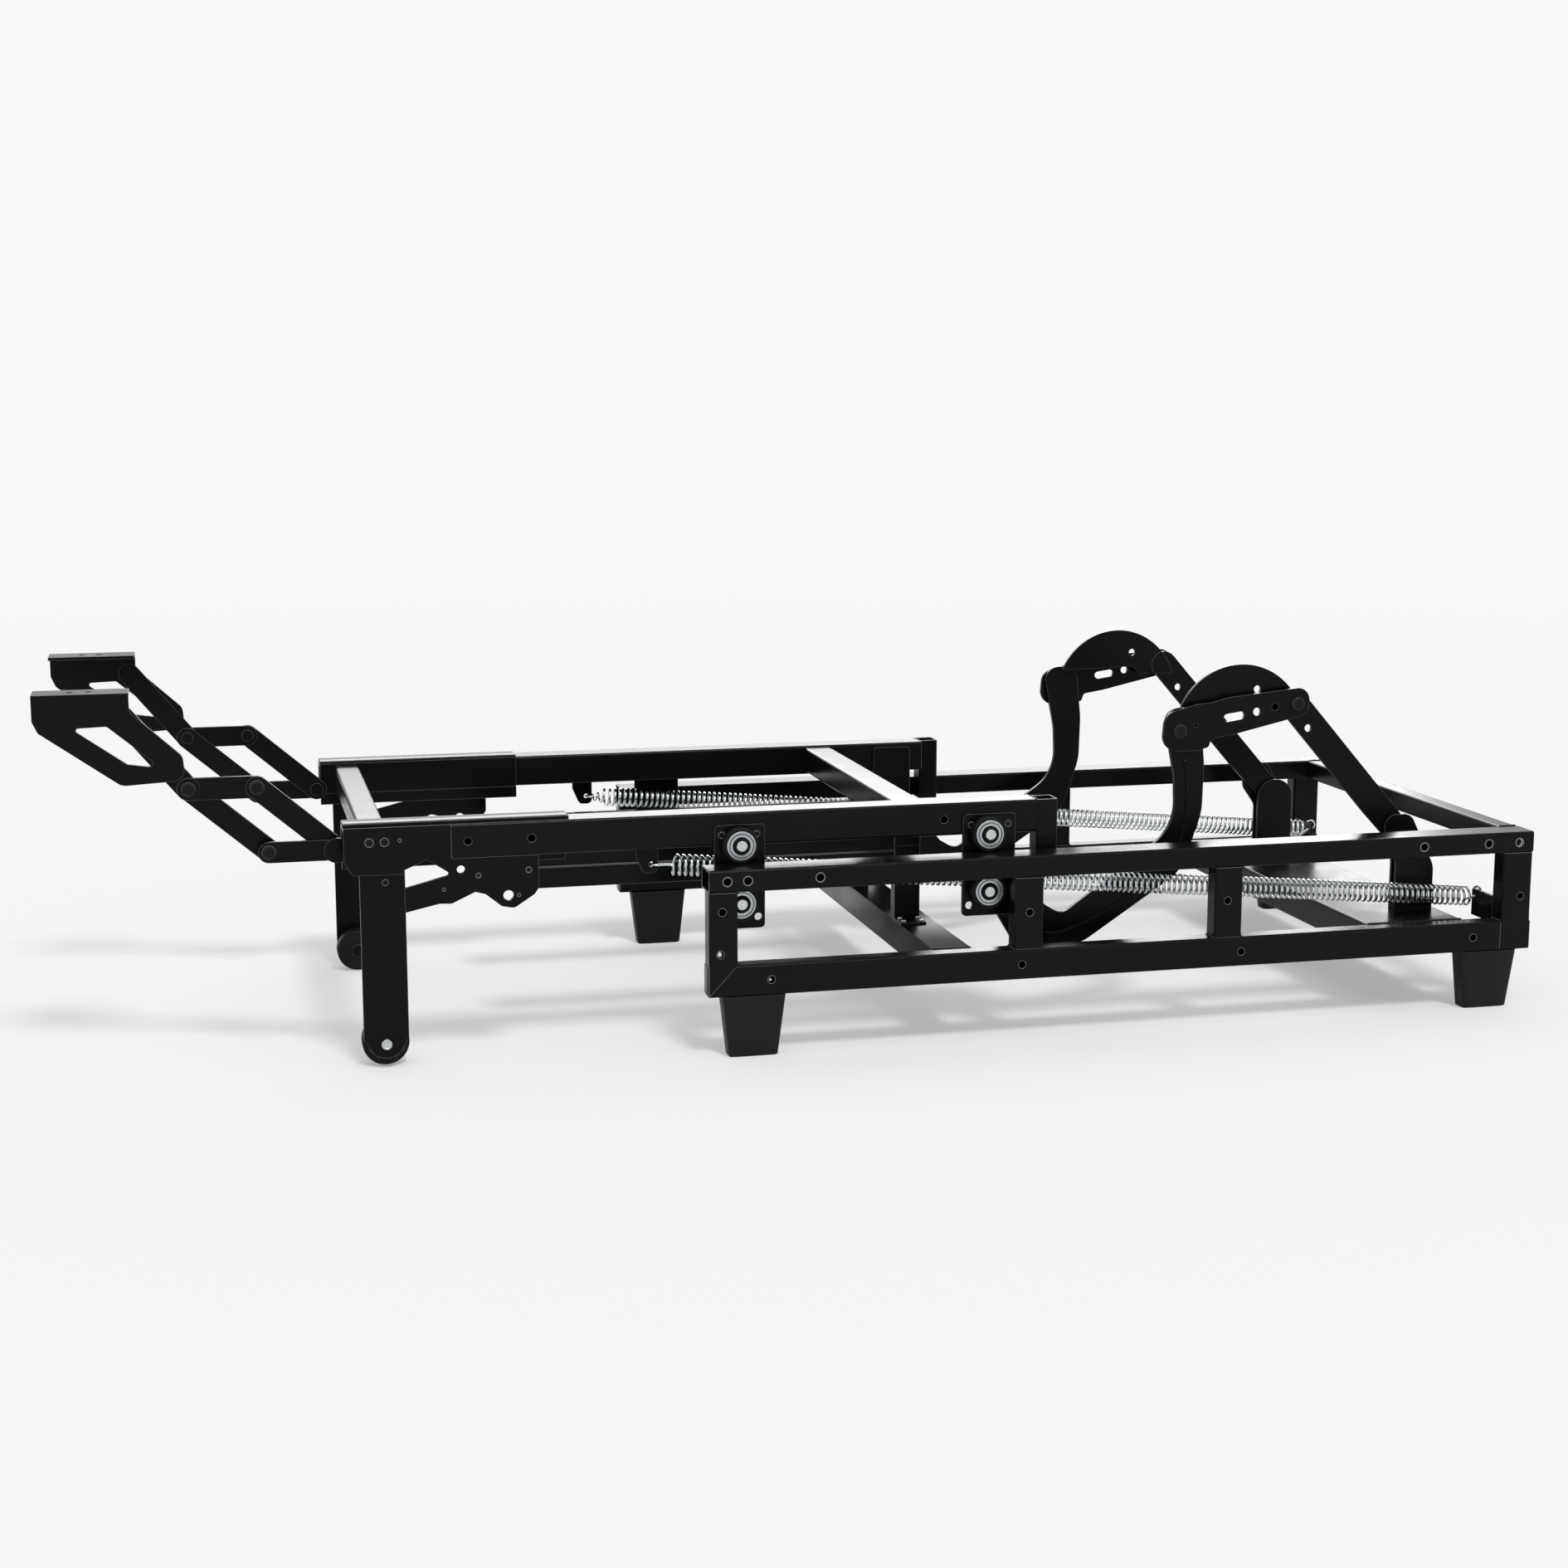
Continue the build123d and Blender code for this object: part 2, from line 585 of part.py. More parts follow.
def back_arm():
    """Curved arm, bolted inside the seat rail, with the pin of the back bracket."""
    shape = outline([
        (-16.0, 22.0, 14),
        (21.0, 22.0, 14),
        (27.0, -32.0, 60),
        (26.0, -78.0, 60),
        (7.0, -134.0, 45),
        (-93.0, -199.0, 30),
        (-158.0, -197.0, 6),
        (-176.0, -167.0, 0),
        (-203.0, -118.0, 0),
        (-203.0, -58.0, 3),
        (-163.0, -58.0, 3),
        (-163.0, -118.0, 0),
        (-129.0, -160.0, 0),
        (-112.0, -170.0, 12),
        (-1.0, -92.0, 45),
        (-3.0, -43.0, 60),
    ], BACK_PIVOT)
    end = BACK_BRACKET_X + PLATE + HEAD_GAP + HEAD
    return plate(shape, ARM_X, ARM_PLATE) + pivot(BACK_PIVOT, ARM_X, end, 0, HEAD_RADIUS)


def back_bracket():
    """Bracket that takes the foot of the backrest."""
    shape = outline([
        (-15.0, 17.0, 15),
        (18.0, 25.0, 10),
        (31.0, 26.0, 10),
        (49.0, 30.5, 20),
        (132.0, 38.5, 12),
        (130.0, 12.0, 12),
        (54.0, -5.0, 40),
        (32.0, -8.5, 4),
        (29.5, -16.0, 3),
        (19.0, -19.0, 6),
        (-18.0, -19.0, 15),
    ], BACK_PIVOT)
    shape -= disc(BACK_PIVOT, BORE_RADIUS)
    shape -= disc(STRUT_TOP, BORE_RADIUS)
    slot = Rot(0, 0, BRACKET_SLOT_TURN) * SlotOverall(BRACKET_SLOT_LENGTH, BRACKET_SLOT_WIDTH)
    shape -= Pos(BACK_PIVOT[0] + BRACKET_SLOT[0], BACK_PIVOT[1] + BRACKET_SLOT[1]) * slot
    shape -= disc((77.5, 16.0), HOLE_RADIUS + 0.3, BACK_PIVOT)
    shape -= disc((96.0, 20.0), HOLE_RADIUS, BACK_PIVOT)
    shape -= disc((16.0, 5.0), HOLE_RADIUS / 2, BACK_PIVOT)
    return plate(shape, BACK_BRACKET_X, PLATE)


def back_strut():
    """Strut with the domed plate over its top and the pin of the back bracket."""
    window = outline([
        (-124.0, -14.0, 0),
        (-64.0, -18.0, 0),
        (16.0, -10.0, 0),
        (16.0, 50.0, 0),
        (-124.0, 50.0, 0),
    ], STRUT_TOP)
    shape = disc(DOME_CENTRE, DOME_RADIUS, STRUT_TOP) & window
    shape += bar(STRUT_TOP, STRUT_FOOT, STRUT_WIDTH)
    shape -= disc((-37.0, 14.0), HOLE_RADIUS, STRUT_TOP)
    shape -= disc((16.5, -25.0), HOLE_RADIUS, STRUT_TOP)
    body = plate(shape, STRUT_X, PLATE)
    end = BACK_BRACKET_X + PLATE + HEAD_GAP + HEAD
    body += pin(STRUT_TOP, STRUT_X + PLATE, BACK_BRACKET_X - LINK_GAP, HEAD_RADIUS)
    return body + pivot(STRUT_TOP, STRUT_X, end, 0, HEAD_RADIUS)


# Footrest linkage pieces


def lower_link():
    """Short link from the first crossing to the lower knee, with the pin of the knee."""
    shape = bar(CROSSING, LOWER_KNEE, LINK_WIDTH) - disc(CROSSING, BORE_RADIUS)
    body = plate(shape, LOWER_LINK_X, PLATE)
    body += pin(LOWER_KNEE, LONG_LINK_X + LAYER_PITCH, LOWER_LINK_X, HEAD_RADIUS)
    inner = LONG_LINK_X - HEAD_GAP - HEAD
    return body + pivot(LOWER_KNEE, inner, LOWER_LINK_X + PLATE + HEAD, HEAD_RADIUS, HEAD_RADIUS)


def upper_link():
    """Link from the first crossing to the upper knee, with the pin of the knee."""
    shape = bar(CROSSING, UPPER_KNEE, LINK_WIDTH) - disc(CROSSING, BORE_RADIUS)
    body = plate(shape, UPPER_LINK_X, PLATE)
    inner = FRONT_LINK_X - HEAD_GAP - HEAD
    return body + pivot(UPPER_KNEE, inner, UPPER_LINK_X + PLATE + HEAD, HEAD_RADIUS, HEAD_RADIUS)


def long_link():
    """Link from the lower knee to the second crossing."""
    shape = bar(LOWER_KNEE, FAR_CROSSING, LINK_WIDTH)
    shape -= disc(LOWER_KNEE, BORE_RADIUS)
    shape -= disc(FAR_CROSSING, PIN_RADIUS + FAR_CROSSING_CLEARANCE)
    return plate(shape, LONG_LINK_X, PLATE)


def front_link():
    """Bent link from the upper knee over the second crossing to the footrest bracket."""
    shape = bar(UPPER_KNEE, FAR_CROSSING, LINK_WIDTH)
    shape += bar(FAR_CROSSING, FOOTREST_JOINT, LINK_WIDTH)
    shape -= disc(UPPER_KNEE, BORE_RADIUS)
    body = plate(shape, FRONT_LINK_X, PLATE)
    inner = LONG_LINK_X - HEAD_GAP - HEAD
    return body + pivot(FAR_CROSSING, inner, FRONT_LINK_X + PLATE + HEAD, HEAD_RADIUS, HEAD_RADIUS)


def footrest_bracket():
    """Bracket under the footrest board: an open face and a flange on top."""
    top = FOOTREST_TOP - FOOTREST_JOINT[1]
    front = FOOTREST_REAR - FOOTREST_LENGTH
    face = outline([
        (front, top, 1),
        (FOOTREST_REAR, top, 0),
        (FOOTREST_REAR, 4.5, 3),
        (49.0, -35.0, 10),
        (51.0, -56.0, 10),
        (-2.0, -59.0, 12),
        (front + 4.5, -11.5, 6),
        (front, -1.5, 3),
    ], FOOTREST_JOINT)
    face -= outline([
        (-41.5, -8.5, 2),
        (-12.5, -7.5, 3),
        (31.0, -44.5, 3),
        (3.5, -40.5, 3),
    ], FOOTREST_JOINT)
    body = plate(face, FOOTREST_X, PLATE)
    across = (FOOTREST_X + PLATE - FOOTREST_FLANGE, FOOTREST_X + PLATE)
    along = (FOOTREST_JOINT[0] + front, FOOTREST_JOINT[0] + FOOTREST_REAR)
    body += block(across, along, (FOOTREST_TOP - PLATE, FOOTREST_TOP))
    middle = (across[0] + across[1]) / 2
    for place in FLANGE_HOLES:
        hole = Cylinder(FLANGE_HOLE_RADIUS, 3 * PLATE)
        body -= Pos(middle, FOOTREST_JOINT[0] + place, FOOTREST_TOP) * hole
    return body


# Springs


def spring():
    """Long extension spring as a plain tube with a straight end towards each tab."""
    front = Vector(SPRING_PLACE, *SPRING_FRONT)
    rear = Vector(SPRING_PLACE, *SPRING_REAR)
    along = (rear - front).normalized()
    first = front + along * FRONT_HOOK
    last = rear - along * REAR_HOOK
    front_plane = Plane(origin=first, x_dir=(1, 0, 0), z_dir=along)
    rear_plane = Plane(origin=last, x_dir=(1, 0, 0), z_dir=along)
    ring = Circle(SPRING_RADIUS) - Circle(SPRING_RADIUS - SPRING_WIRE)
    wire = Pos(0, SPRING_RADIUS - SPRING_WIRE / 2) * Circle(SPRING_WIRE / 2)
    body = extrude(front_plane * ring, (last - first).length)
    body += extrude(front_plane * wire, 3 * SPRING_WIRE - FRONT_HOOK)
    return body + extrude(rear_plane * wire, REAR_HOOK - SPRING_WIRE)


def both_sides(name, part):
    """Two nodes, one for each side."""
    return {name + "_right": part, name + "_left": mirrored(part)}


def all_nodes():
    """Every node of the mechanism, by name."""
    nodes = {}
    nodes.update(both_sides("upper_rail", upper_rail()))
    nodes.update(both_sides("lower_rail", lower_rail()))
    nodes.update(both_sides("frame_posts", frame_posts()))
    nodes["front_cross_member"] = cross_member(FRONT_MEMBER_PLACE, FRONT_MEMBER_DEPTH)
    nodes["rear_cross_member"] = cross_member(REAR_MEMBER_PLACE, REAR_MEMBER_DEPTH)
    nodes["rear_top_rail"] = rear_top_rail()
    nodes["feet"] = feet()
    nodes["drive_posts"] = pair(drive_post())
    nodes["drive_bars"] = pair(drive_bar())
    nodes["strut_brackets"] = pair(strut_bracket())
    nodes["rear_spring_tabs"] = pair(rear_spring_tab())
    nodes.update(both_sides("seat_rail", seat_rail()))
    nodes["seat_uprights"] = pair(seat_upright())
    nodes["front_seat_tube"] = seat_tube(
        FRONT_TUBE_PLACE, FRONT_TUBE_DEPTH, FRONT_TUBE_HEIGHT, INNER_PLATE_X)
    nodes["rear_seat_tube"] = seat_tube(
        REAR_TUBE_PLACE, REAR_TUBE_DEPTH, REAR_TUBE_HEIGHT, SEAT_INNER)
    nodes.update(both_sides("side_plate", side_plate()))
    nodes["inner_plates"] = pair(inner_plate())
    nodes.update(both_sides("front_leg", front_leg()))
    nodes.update(both_sides("leg_wheel", leg_wheel()))
    nodes["spring_hook_tabs"] = pair(hook_tab())
    nodes["front_roller_plates"] = pair(roller_plate(
        FRONT_ROLLER_PLACE, FRONT_ROLLER_PLATE_REAR, FRONT_ROLLER_PLATE_HOLE))
    nodes["rear_roller_plates"] = pair(roller_plate(
        REAR_ROLLER_PLACE, REAR_ROLLER_PLATE_REAR, REAR_ROLLER_PLATE_HOLE))
    for name, place in (("front", FRONT_ROLLER_PLACE), ("rear", REAR_ROLLER_PLACE)):
        nodes.update(both_sides(name + "_upper_roller", roller(place, UPPER_ROLLER)))
        nodes.update(both_sides(name + "_lower_roller", roller(place, LOWER_ROLLER)))
    nodes.update(both_sides("back_arm", back_arm()))
    nodes.update(both_sides("back_bracket", back_bracket()))
    nodes.update(both_sides("back_strut", back_strut()))
    nodes.update(both_sides("lower_link", lower_link()))
    nodes.update(both_sides("upper_link", upper_link()))
    nodes.update(both_sides("long_link", long_link()))
    nodes.update(both_sides("front_link", front_link()))
    nodes.update(both_sides("footrest_bracket", footrest_bracket()))
    nodes.update(both_sides("spring", spring()))
    return nodes


def main():
    """Centre the whole on the origin and write one file for each node."""
    os.makedirs("parts", exist_ok=True)
    nodes = all_nodes()
    boxes = [part.bounding_box() for part in nodes.values()]
    front = min(box.min.Y for box in boxes)
    rear = max(box.max.Y for box in boxes)
    shift = -(front + rear) / 2
    print("moved along Y by", round(shift, 4))
    for name, part in nodes.items():
        solids = [Pos(0, shift, 0) * solid for solid in part.solids()]
        export_step(Compound(solids), "parts/" + name + ".step")


main()
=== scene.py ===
import bmesh
import bpy
import numpy as np
from mathutils import Matrix


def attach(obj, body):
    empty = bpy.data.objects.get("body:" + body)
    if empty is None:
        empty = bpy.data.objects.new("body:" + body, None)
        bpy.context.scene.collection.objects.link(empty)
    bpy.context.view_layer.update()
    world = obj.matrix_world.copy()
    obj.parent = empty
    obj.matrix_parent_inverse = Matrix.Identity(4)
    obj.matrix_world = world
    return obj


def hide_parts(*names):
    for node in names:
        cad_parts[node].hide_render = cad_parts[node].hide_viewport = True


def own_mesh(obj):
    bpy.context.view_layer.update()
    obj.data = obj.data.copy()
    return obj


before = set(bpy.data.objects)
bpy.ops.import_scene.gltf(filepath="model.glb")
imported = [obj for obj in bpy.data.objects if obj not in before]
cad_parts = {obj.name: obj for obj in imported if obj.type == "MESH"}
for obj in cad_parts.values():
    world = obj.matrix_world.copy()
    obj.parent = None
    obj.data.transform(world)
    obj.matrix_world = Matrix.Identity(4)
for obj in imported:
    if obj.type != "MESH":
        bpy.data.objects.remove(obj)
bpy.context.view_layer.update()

# Recliner mechanism. X runs across it, Y runs back from the footrest, Z is up.
# Lengths are millimetres, with Y counted from the middle of the base, until a piece is made.
BASE_MIDDLE = 281.7544
SIDES = (("right", 1.0), ("left", -1.0))

# Faces of the frame that small pieces sit on
BASE_SIDE = 237.5
BASE_END = 400.0
LOWER_INNER = 217.5
FOOT_TOP = 56.0
LOWER_RAIL_TOP = 84.0
UPPER_RAIL_UNDERSIDE = 150.0
SEAT_INNER = 167.0
SIDE_PLATE_FACE = 196.0
LEG_FACE = 193.0
ROLLER_PLATE_FACE = 200.0

# Rollers
ROLLER_INNER = 201.5
ROLLER_OUTER = 212.5
AXLE_SEAT = 212.7
ROLLER_RADIUS = 16.0
ROLLER_BORE = 4.05
ROLLER_PLACES = (("front", -365.0), ("rear", -134.0))
ROLLER_HEIGHTS = (("upper", 186.3), ("lower", 133.7))
AXLES = [(place, height) for end, place in ROLLER_PLACES for level, height in ROLLER_HEIGHTS]

# Springs
SPRING_X = 182.0
SPRING_FRONT = np.array([SPRING_X, -441.0, 168.2])
SPRING_REAR = np.array([SPRING_X, 373.5, 97.2])
COIL_RADIUS = 8.8
COIL_PITCH = 5.5
WIRE_RADIUS = 1.2
FRONT_HOOK = 19.0
FRONT_HOOK_RADIUS = 4.5
REAR_HOOK = 9.5
REAR_HOOK_RADIUS = 4.7
NECK_LENGTH = 11.0
NECK_RADIUS = 4.2
NECK_GROWTH = 5.0

# Directions
ACROSS = (1, 0, 0)
BACK = (0, 1, 0)
UP = (0, 0, 1)


# Mesh making


def unit(vectors):
    """Each vector divided by its length."""
    return vectors / np.linalg.norm(vectors, axis=-1, keepdims=True)


def skin(grid, round_rows=False):
    """Four-cornered faces between the neighbours of a grid of points, closed round along each
    row, and from the last row to the first when round_rows is set."""
    rows, columns = grid.shape[:2]
    index = np.arange(rows * columns).reshape(rows, columns)
    if round_rows:
        index = np.vstack([index, index[:1]])
    index = np.hstack([index, index[:, :1]])
    corners = [index[:-1, :-1], index[1:, :-1], index[1:, 1:], index[:-1, 1:]]
    return grid.reshape(-1, 3), np.stack([corner.ravel() for corner in corners], axis=1)


def turned(centre, profile, steps=48, ring=False):
    """Profile of (x, r) turned about a line along X: x, y0 + r cos t, z0 + r sin t."""
    x, radius = np.array(profile, float).T
    turn = np.linspace(0, 2 * np.pi, steps, endpoint=False)
    across = np.repeat(x[:, None], steps, axis=1)
    back = centre[0] + radius[:, None] * np.cos(turn)
    up = centre[1] + radius[:, None] * np.sin(turn)
    return skin(np.stack([across, back, up], axis=2), round_rows=ring)


def upright(centre, base, profile, steps=24):
    """Profile of (r, h) turned about a line along Z: x0 + r cos t, y0 + r sin t, base + h."""
    radius, height = np.array(profile, float).T
    turn = np.linspace(0, 2 * np.pi, steps, endpoint=False)
    across = centre[0] + radius[:, None] * np.cos(turn)
    back = centre[1] + radius[:, None] * np.sin(turn)
    up = np.repeat(base + height[:, None], steps, axis=1)
    return skin(np.stack([across, back, up], axis=2))


def wire(path, side, radius, steps=8):
    """Round wire along a path: p + r (n cos t + b sin t), with n the given side made square
    to the path and b square to both. Its ends close to a point."""
    path = np.asarray(path, float)
    along = unit(np.gradient(path, axis=0))
    side = np.broadcast_to(np.asarray(side, float), path.shape)
    first = unit(side - (side * along).sum(axis=1, keepdims=True) * along)
    second = np.cross(along, first)
    turn = np.linspace(0, 2 * np.pi, steps, endpoint=False)[None, :, None]
    ring = first[:, None] * np.cos(turn) + second[:, None] * np.sin(turn)
    width = np.broadcast_to(np.asarray(radius, float), path.shape[:1])[:, None, None]
    body = path[:, None] + width * ring
    start = np.repeat(path[:1, None], steps, axis=1)
    end = np.repeat(path[-1:, None], steps, axis=1)
    return skin(np.concatenate([start, body, end]))


def slab(corners, low, high, bevel):
    """Flat plate in the Y-Z plane: its outline at the low face, up the edge, drawn in towards
    its middle by the bevel at the high face, and closed to the middle on both faces."""
    corners = np.array(corners, float)
    middle = corners.mean(axis=0)
    inset = corners + bevel * unit(middle - corners)
    rings = [(middle + 0 * corners, low), (corners, low), (corners, high - bevel)]
    rings += [(inset, high), (middle + 0 * corners, high)]
    rows = [np.column_stack([np.full(len(ring), x), ring]) for ring, x in rings]
    return skin(np.stack(rows))


def box_skin(low, high, bevel):
    """Block: a rectangle in the Y-Z plane, its corners cut by the bevel, carried from the low
    X face to the high one and drawn in by most of the bevel at both."""
    (x0, y0, z0), (x1, y1, z1) = low, high
    corners = np.array([
        (y0 + bevel, z0), (y1 - bevel, z0), (y1, z0 + bevel), (y1, z1 - bevel),
        (y1 - bevel, z1), (y0 + bevel, z1), (y0, z1 - bevel), (y0, z0 + bevel)], float)
    middle = corners.mean(axis=0)
    inset = corners + bevel * np.sign(middle - corners) * 0.7
    rings = [(middle + 0 * corners, x0), (inset, x0), (corners, x0 + bevel)]
    rings += [(corners, x1 - bevel), (inset, x1), (middle + 0 * corners, x1)]
    return skin(np.stack([np.column_stack([np.full(8, x), ring]) for ring, x in rings]))


def smooth(points, steps):
    """Curve through points: between two of them it is a cubic whose slopes come from the
    neighbours on each side."""
    points = np.array(points, float)
    slopes = np.gradient(points, axis=0)
    t = np.linspace(0, 1, steps, endpoint=False)[:, None, None]
    start = (2 * t**3 - 3 * t**2 + 1) * points[:-1] + (t**3 - 2 * t**2 + t) * slopes[:-1]
    end = (3 * t**2 - 2 * t**3) * points[1:] + (t**3 - t**2) * slopes[1:]
    curve = (start + end).transpose(1, 0, 2).reshape(-1, points.shape[1])
    return np.vstack([curve, points[-1:]])


def mirrored(skins):
    """The same skins on the other side of the middle plane."""
    return [(points * (-1, 1, 1), faces[:, ::-1]) for points, faces in skins]


def piece(name, layers, body, sharp=35.0):
    """One object from layers of (finish, skins), merged, facing outwards and riding on a body."""
    points, faces, finishes, start = [], [], [], 0
    for number, (finish, skins) in enumerate(layers):
        for corners, quads in skins:
            points.append((corners + (0, BASE_MIDDLE, 0)) / 1000)
            faces.append(quads + start)
            finishes.append(np.full(len(quads), number))
            start += len(corners)
    mesh = bpy.data.meshes.new(name)
    mesh.from_pydata(np.concatenate(points).tolist(), [], np.concatenate(faces).tolist())
    mesh.polygons.foreach_set("material_index", np.concatenate(finishes).astype(np.int32))
    for finish, skins in layers:
        mesh.materials.append(finish)
    shape = bmesh.new()
    shape.from_mesh(mesh)
    bmesh.ops.remove_doubles(shape, verts=shape.verts, dist=2e-7)
    bmesh.ops.recalc_face_normals(shape, faces=shape.faces)
    shape.to_mesh(mesh)
    shape.free()
    mesh.polygons.foreach_set("use_smooth", np.ones(len(mesh.polygons), bool))
    mesh.set_sharp_from_angle(angle=np.radians(sharp))
    made = bpy.data.objects.new(name, mesh)
    bpy.context.scene.collection.objects.link(made)
    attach(made, body)
    return made


def on_both_sides(name, layers, body, replaced=None):
    """A piece on each side. A body name that ends in an underscore gets the side's name, and
    so does the name of the CAD node that the piece replaces, if it replaces one."""
    for side, sign in SIDES:
        here = [(finish, skins if sign > 0 else mirrored(skins)) for finish, skins in layers]
        where = body + side if body.endswith("_") else body
        made = piece(name + "_" + side, here, where)
        if replaced:
            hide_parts(replaced + side)


# Finishes


def linear(colour):
    """sRGB hex to linear light: c / 12.92 up to 0.04045, above it ((c + 0.055) / 1.055) ** 2.4."""
    level = np.array([int(colour[i:i + 2], 16) / 255 for i in (1, 3, 5)])
    light = np.where(level <= 0.04045, level / 12.92, ((level + 0.055) / 1.055) ** 2.4)
    return (*light.tolist(), 1.0)


def node(tree, kind, settings, inputs):
    """Add a node with its settings. Each input is a value or a (node, output) link."""
    made = tree.nodes.new(kind)
    for name, value in settings.items():
        setattr(made, name, value)
    for name, value in inputs.items():
        if isinstance(value, tuple) and isinstance(value[0], bpy.types.Node):
            tree.links.new(value[0].outputs[value[1]], made.inputs[name])
        else:
            made.inputs[name].default_value = value
    return made


def empty_material(name):
    """A material with no nodes in it yet."""
    material = bpy.data.materials.new(name)
    material.use_nodes = True
    material.node_tree.nodes.clear()
    return material, material.node_tree


def powder_coat(name, dark, light, edge_highlight, rough, peel, round_edge):
    """Black polyester powder baked on steel: a satin skin with faint orange peel, slightly
    uneven gloss, edges that the coat rounds off so that they catch the light, and a painted
    highlight: the colour lightened along those edges."""
    material, tree = empty_material(name)
    place = node(tree, "ShaderNodeTexCoord", {}, {})
    # Cloudiness of the coat, about 70 mm wide.
    cloud = node(tree, "ShaderNodeTexNoise", {}, {
        "Vector": (place, "Object"), "Scale": 1000 / 70, "Detail": 4.0, "Roughness": 0.6})
    shade = node(tree, "ShaderNodeMix", {"data_type": "RGBA"}, {
        0: (cloud, "Fac"), 6: linear(dark), 7: linear(light)})
    gloss = node(tree, "ShaderNodeTexNoise", {}, {
        "Vector": (place, "Object"), "Scale": 1000 / 25, "Detail": 5.0})
    roughness = node(tree, "ShaderNodeMapRange", {}, {
        "Value": (gloss, "Fac"), "From Min": 0.3, "From Max": 0.7,
        "To Min": rough - 0.02, "To Max": rough + 0.03})
    # Orange peel, 1.6 mm from bump to bump.
    dimple = node(tree, "ShaderNodeTexNoise", {}, {
        "Vector": (place, "Object"), "Scale": 1000 / 1.6, "Detail": 2.0})
    edge = node(tree, "ShaderNodeBevel", {"samples": 6}, {"Radius": round_edge / 1000})
    bump = node(tree, "ShaderNodeBump", {}, {
        "Height": (dimple, "Fac"), "Strength": peel, "Distance": 0.00006,
        "Normal": (edge, "Normal")})
    # Painted highlight: where two faces meet, the colour is lightened towards the edge_highlight
    # colour, standing in for the light that these edges catch.
    face = node(tree, "ShaderNodeNewGeometry", {}, {})
    turned_away = node(tree, "ShaderNodeVectorMath", {"operation": "DOT_PRODUCT"}, {
        0: (edge, "Normal"), 1: (face, "Normal")})
    painted_edge_highlight = node(tree, "ShaderNodeMapRange", {}, {
        "Value": (turned_away, "Value"), "From Min": 0.86, "From Max": 0.99,
        "To Min": 0.9, "To Max": 0.0})
    colour = node(tree, "ShaderNodeMix", {"data_type": "RGBA"}, {
        0: (painted_edge_highlight, "Result"), 6: (shade, 2), 7: linear(edge_highlight)})
    shader = node(tree, "ShaderNodeBsdfPrincipled", {}, {
        "Base Color": (colour, 2), "Roughness": (roughness, "Result"),
        "Normal": (bump, "Normal"), "Specular IOR Level": 0.1})
    node(tree, "ShaderNodeOutputMaterial", {}, {"Surface": (shader, "BSDF")})
    return material


def zinc_plate(name, dark, light, rough, grain, shade_reach):
    """Zinc electroplate on steel: pale grey metal with a faint crystal cloud, fine scratches
    that spread its highlights, and painted shade: the colour darkened towards black in its grooves
    and between its turns."""
    material, tree = empty_material(name)
    place = node(tree, "ShaderNodeTexCoord", {}, {})
    cloud = node(tree, "ShaderNodeTexNoise", {}, {
        "Vector": (place, "Object"), "Scale": 1000 / grain, "Detail": 6.0, "Roughness": 0.7})
    shade = node(tree, "ShaderNodeMix", {"data_type": "RGBA"}, {
        0: (cloud, "Fac"), 6: linear(dark), 7: linear(light)})
    roughness = node(tree, "ShaderNodeMapRange", {}, {
        "Value": (cloud, "Fac"), "From Min": 0.3, "From Max": 0.7,
        "To Min": rough - 0.08, "To Max": rough + 0.12})
    # Scratches and pits about 0.8 mm apart.
    scratch = node(tree, "ShaderNodeTexNoise", {}, {
        "Vector": (place, "Object"), "Scale": 1000 / 0.8, "Detail": 3.0})
    bump = node(tree, "ShaderNodeBump", {}, {
        "Height": (scratch, "Fac"), "Strength": 0.25, "Distance": 0.00005})
    # Painted shade: ambient occlusion within shade_reach mm darkens the colour towards black in
    # grooves and between turns.
    occlusion = node(tree, "ShaderNodeAmbientOcclusion", {"samples": 6}, {
        "Distance": shade_reach / 1000})
    unshaded = node(tree, "ShaderNodeMapRange", {}, {
        "Value": (occlusion, "AO"), "From Min": 0.35, "From Max": 0.8})
    colour = node(tree, "ShaderNodeMix", {"data_type": "RGBA"}, {
        0: (unshaded, "Result"), 6: linear("#141516"), 7: (shade, 2)})
    shader = node(tree, "ShaderNodeBsdfPrincipled", {}, {
        "Base Color": (colour, 2), "Metallic": 1.0, "Roughness": (roughness, "Result"),
        "Normal": (bump, "Normal")})
    node(tree, "ShaderNodeOutputMaterial", {}, {"Surface": (shader, "BSDF")})
    return material


def moulded_black(name, dark, light, rough, texture):
    """Black injection-moulded nylon: a fine spark-eroded grain and soft dull highlights."""
    material, tree = empty_material(name)
    place = node(tree, "ShaderNodeTexCoord", {}, {})
    cloud = node(tree, "ShaderNodeTexNoise", {}, {
        "Vector": (place, "Object"), "Scale": 1000 / 18, "Detail": 5.0})
    shade = node(tree, "ShaderNodeMix", {"data_type": "RGBA"}, {
        0: (cloud, "Fac"), 6: linear(dark), 7: linear(light)})
    roughness = node(tree, "ShaderNodeMapRange", {}, {
        "Value": (cloud, "Fac"), "From Min": 0.3, "From Max": 0.7,
        "To Min": rough - 0.05, "To Max": rough + 0.07})
    grain = node(tree, "ShaderNodeTexVoronoi", {}, {
        "Vector": (place, "Object"), "Scale": 1000 / texture})
    # Corners that the mould rounds by 0.9 mm.
    edge = node(tree, "ShaderNodeBevel", {"samples": 4}, {"Radius": 0.9 / 1000})
    bump = node(tree, "ShaderNodeBump", {}, {
        "Height": (grain, "Distance"), "Strength": 0.2, "Distance": 0.00005,
        "Normal": (edge, "Normal")})
    shader = node(tree, "ShaderNodeBsdfPrincipled", {}, {
        "Base Color": (shade, 2), "Roughness": (roughness, "Result"),
        "Normal": (bump, "Normal"), "Specular IOR Level": 0.15})
    node(tree, "ShaderNodeOutputMaterial", {}, {"Surface": (shader, "BSDF")})
    return material
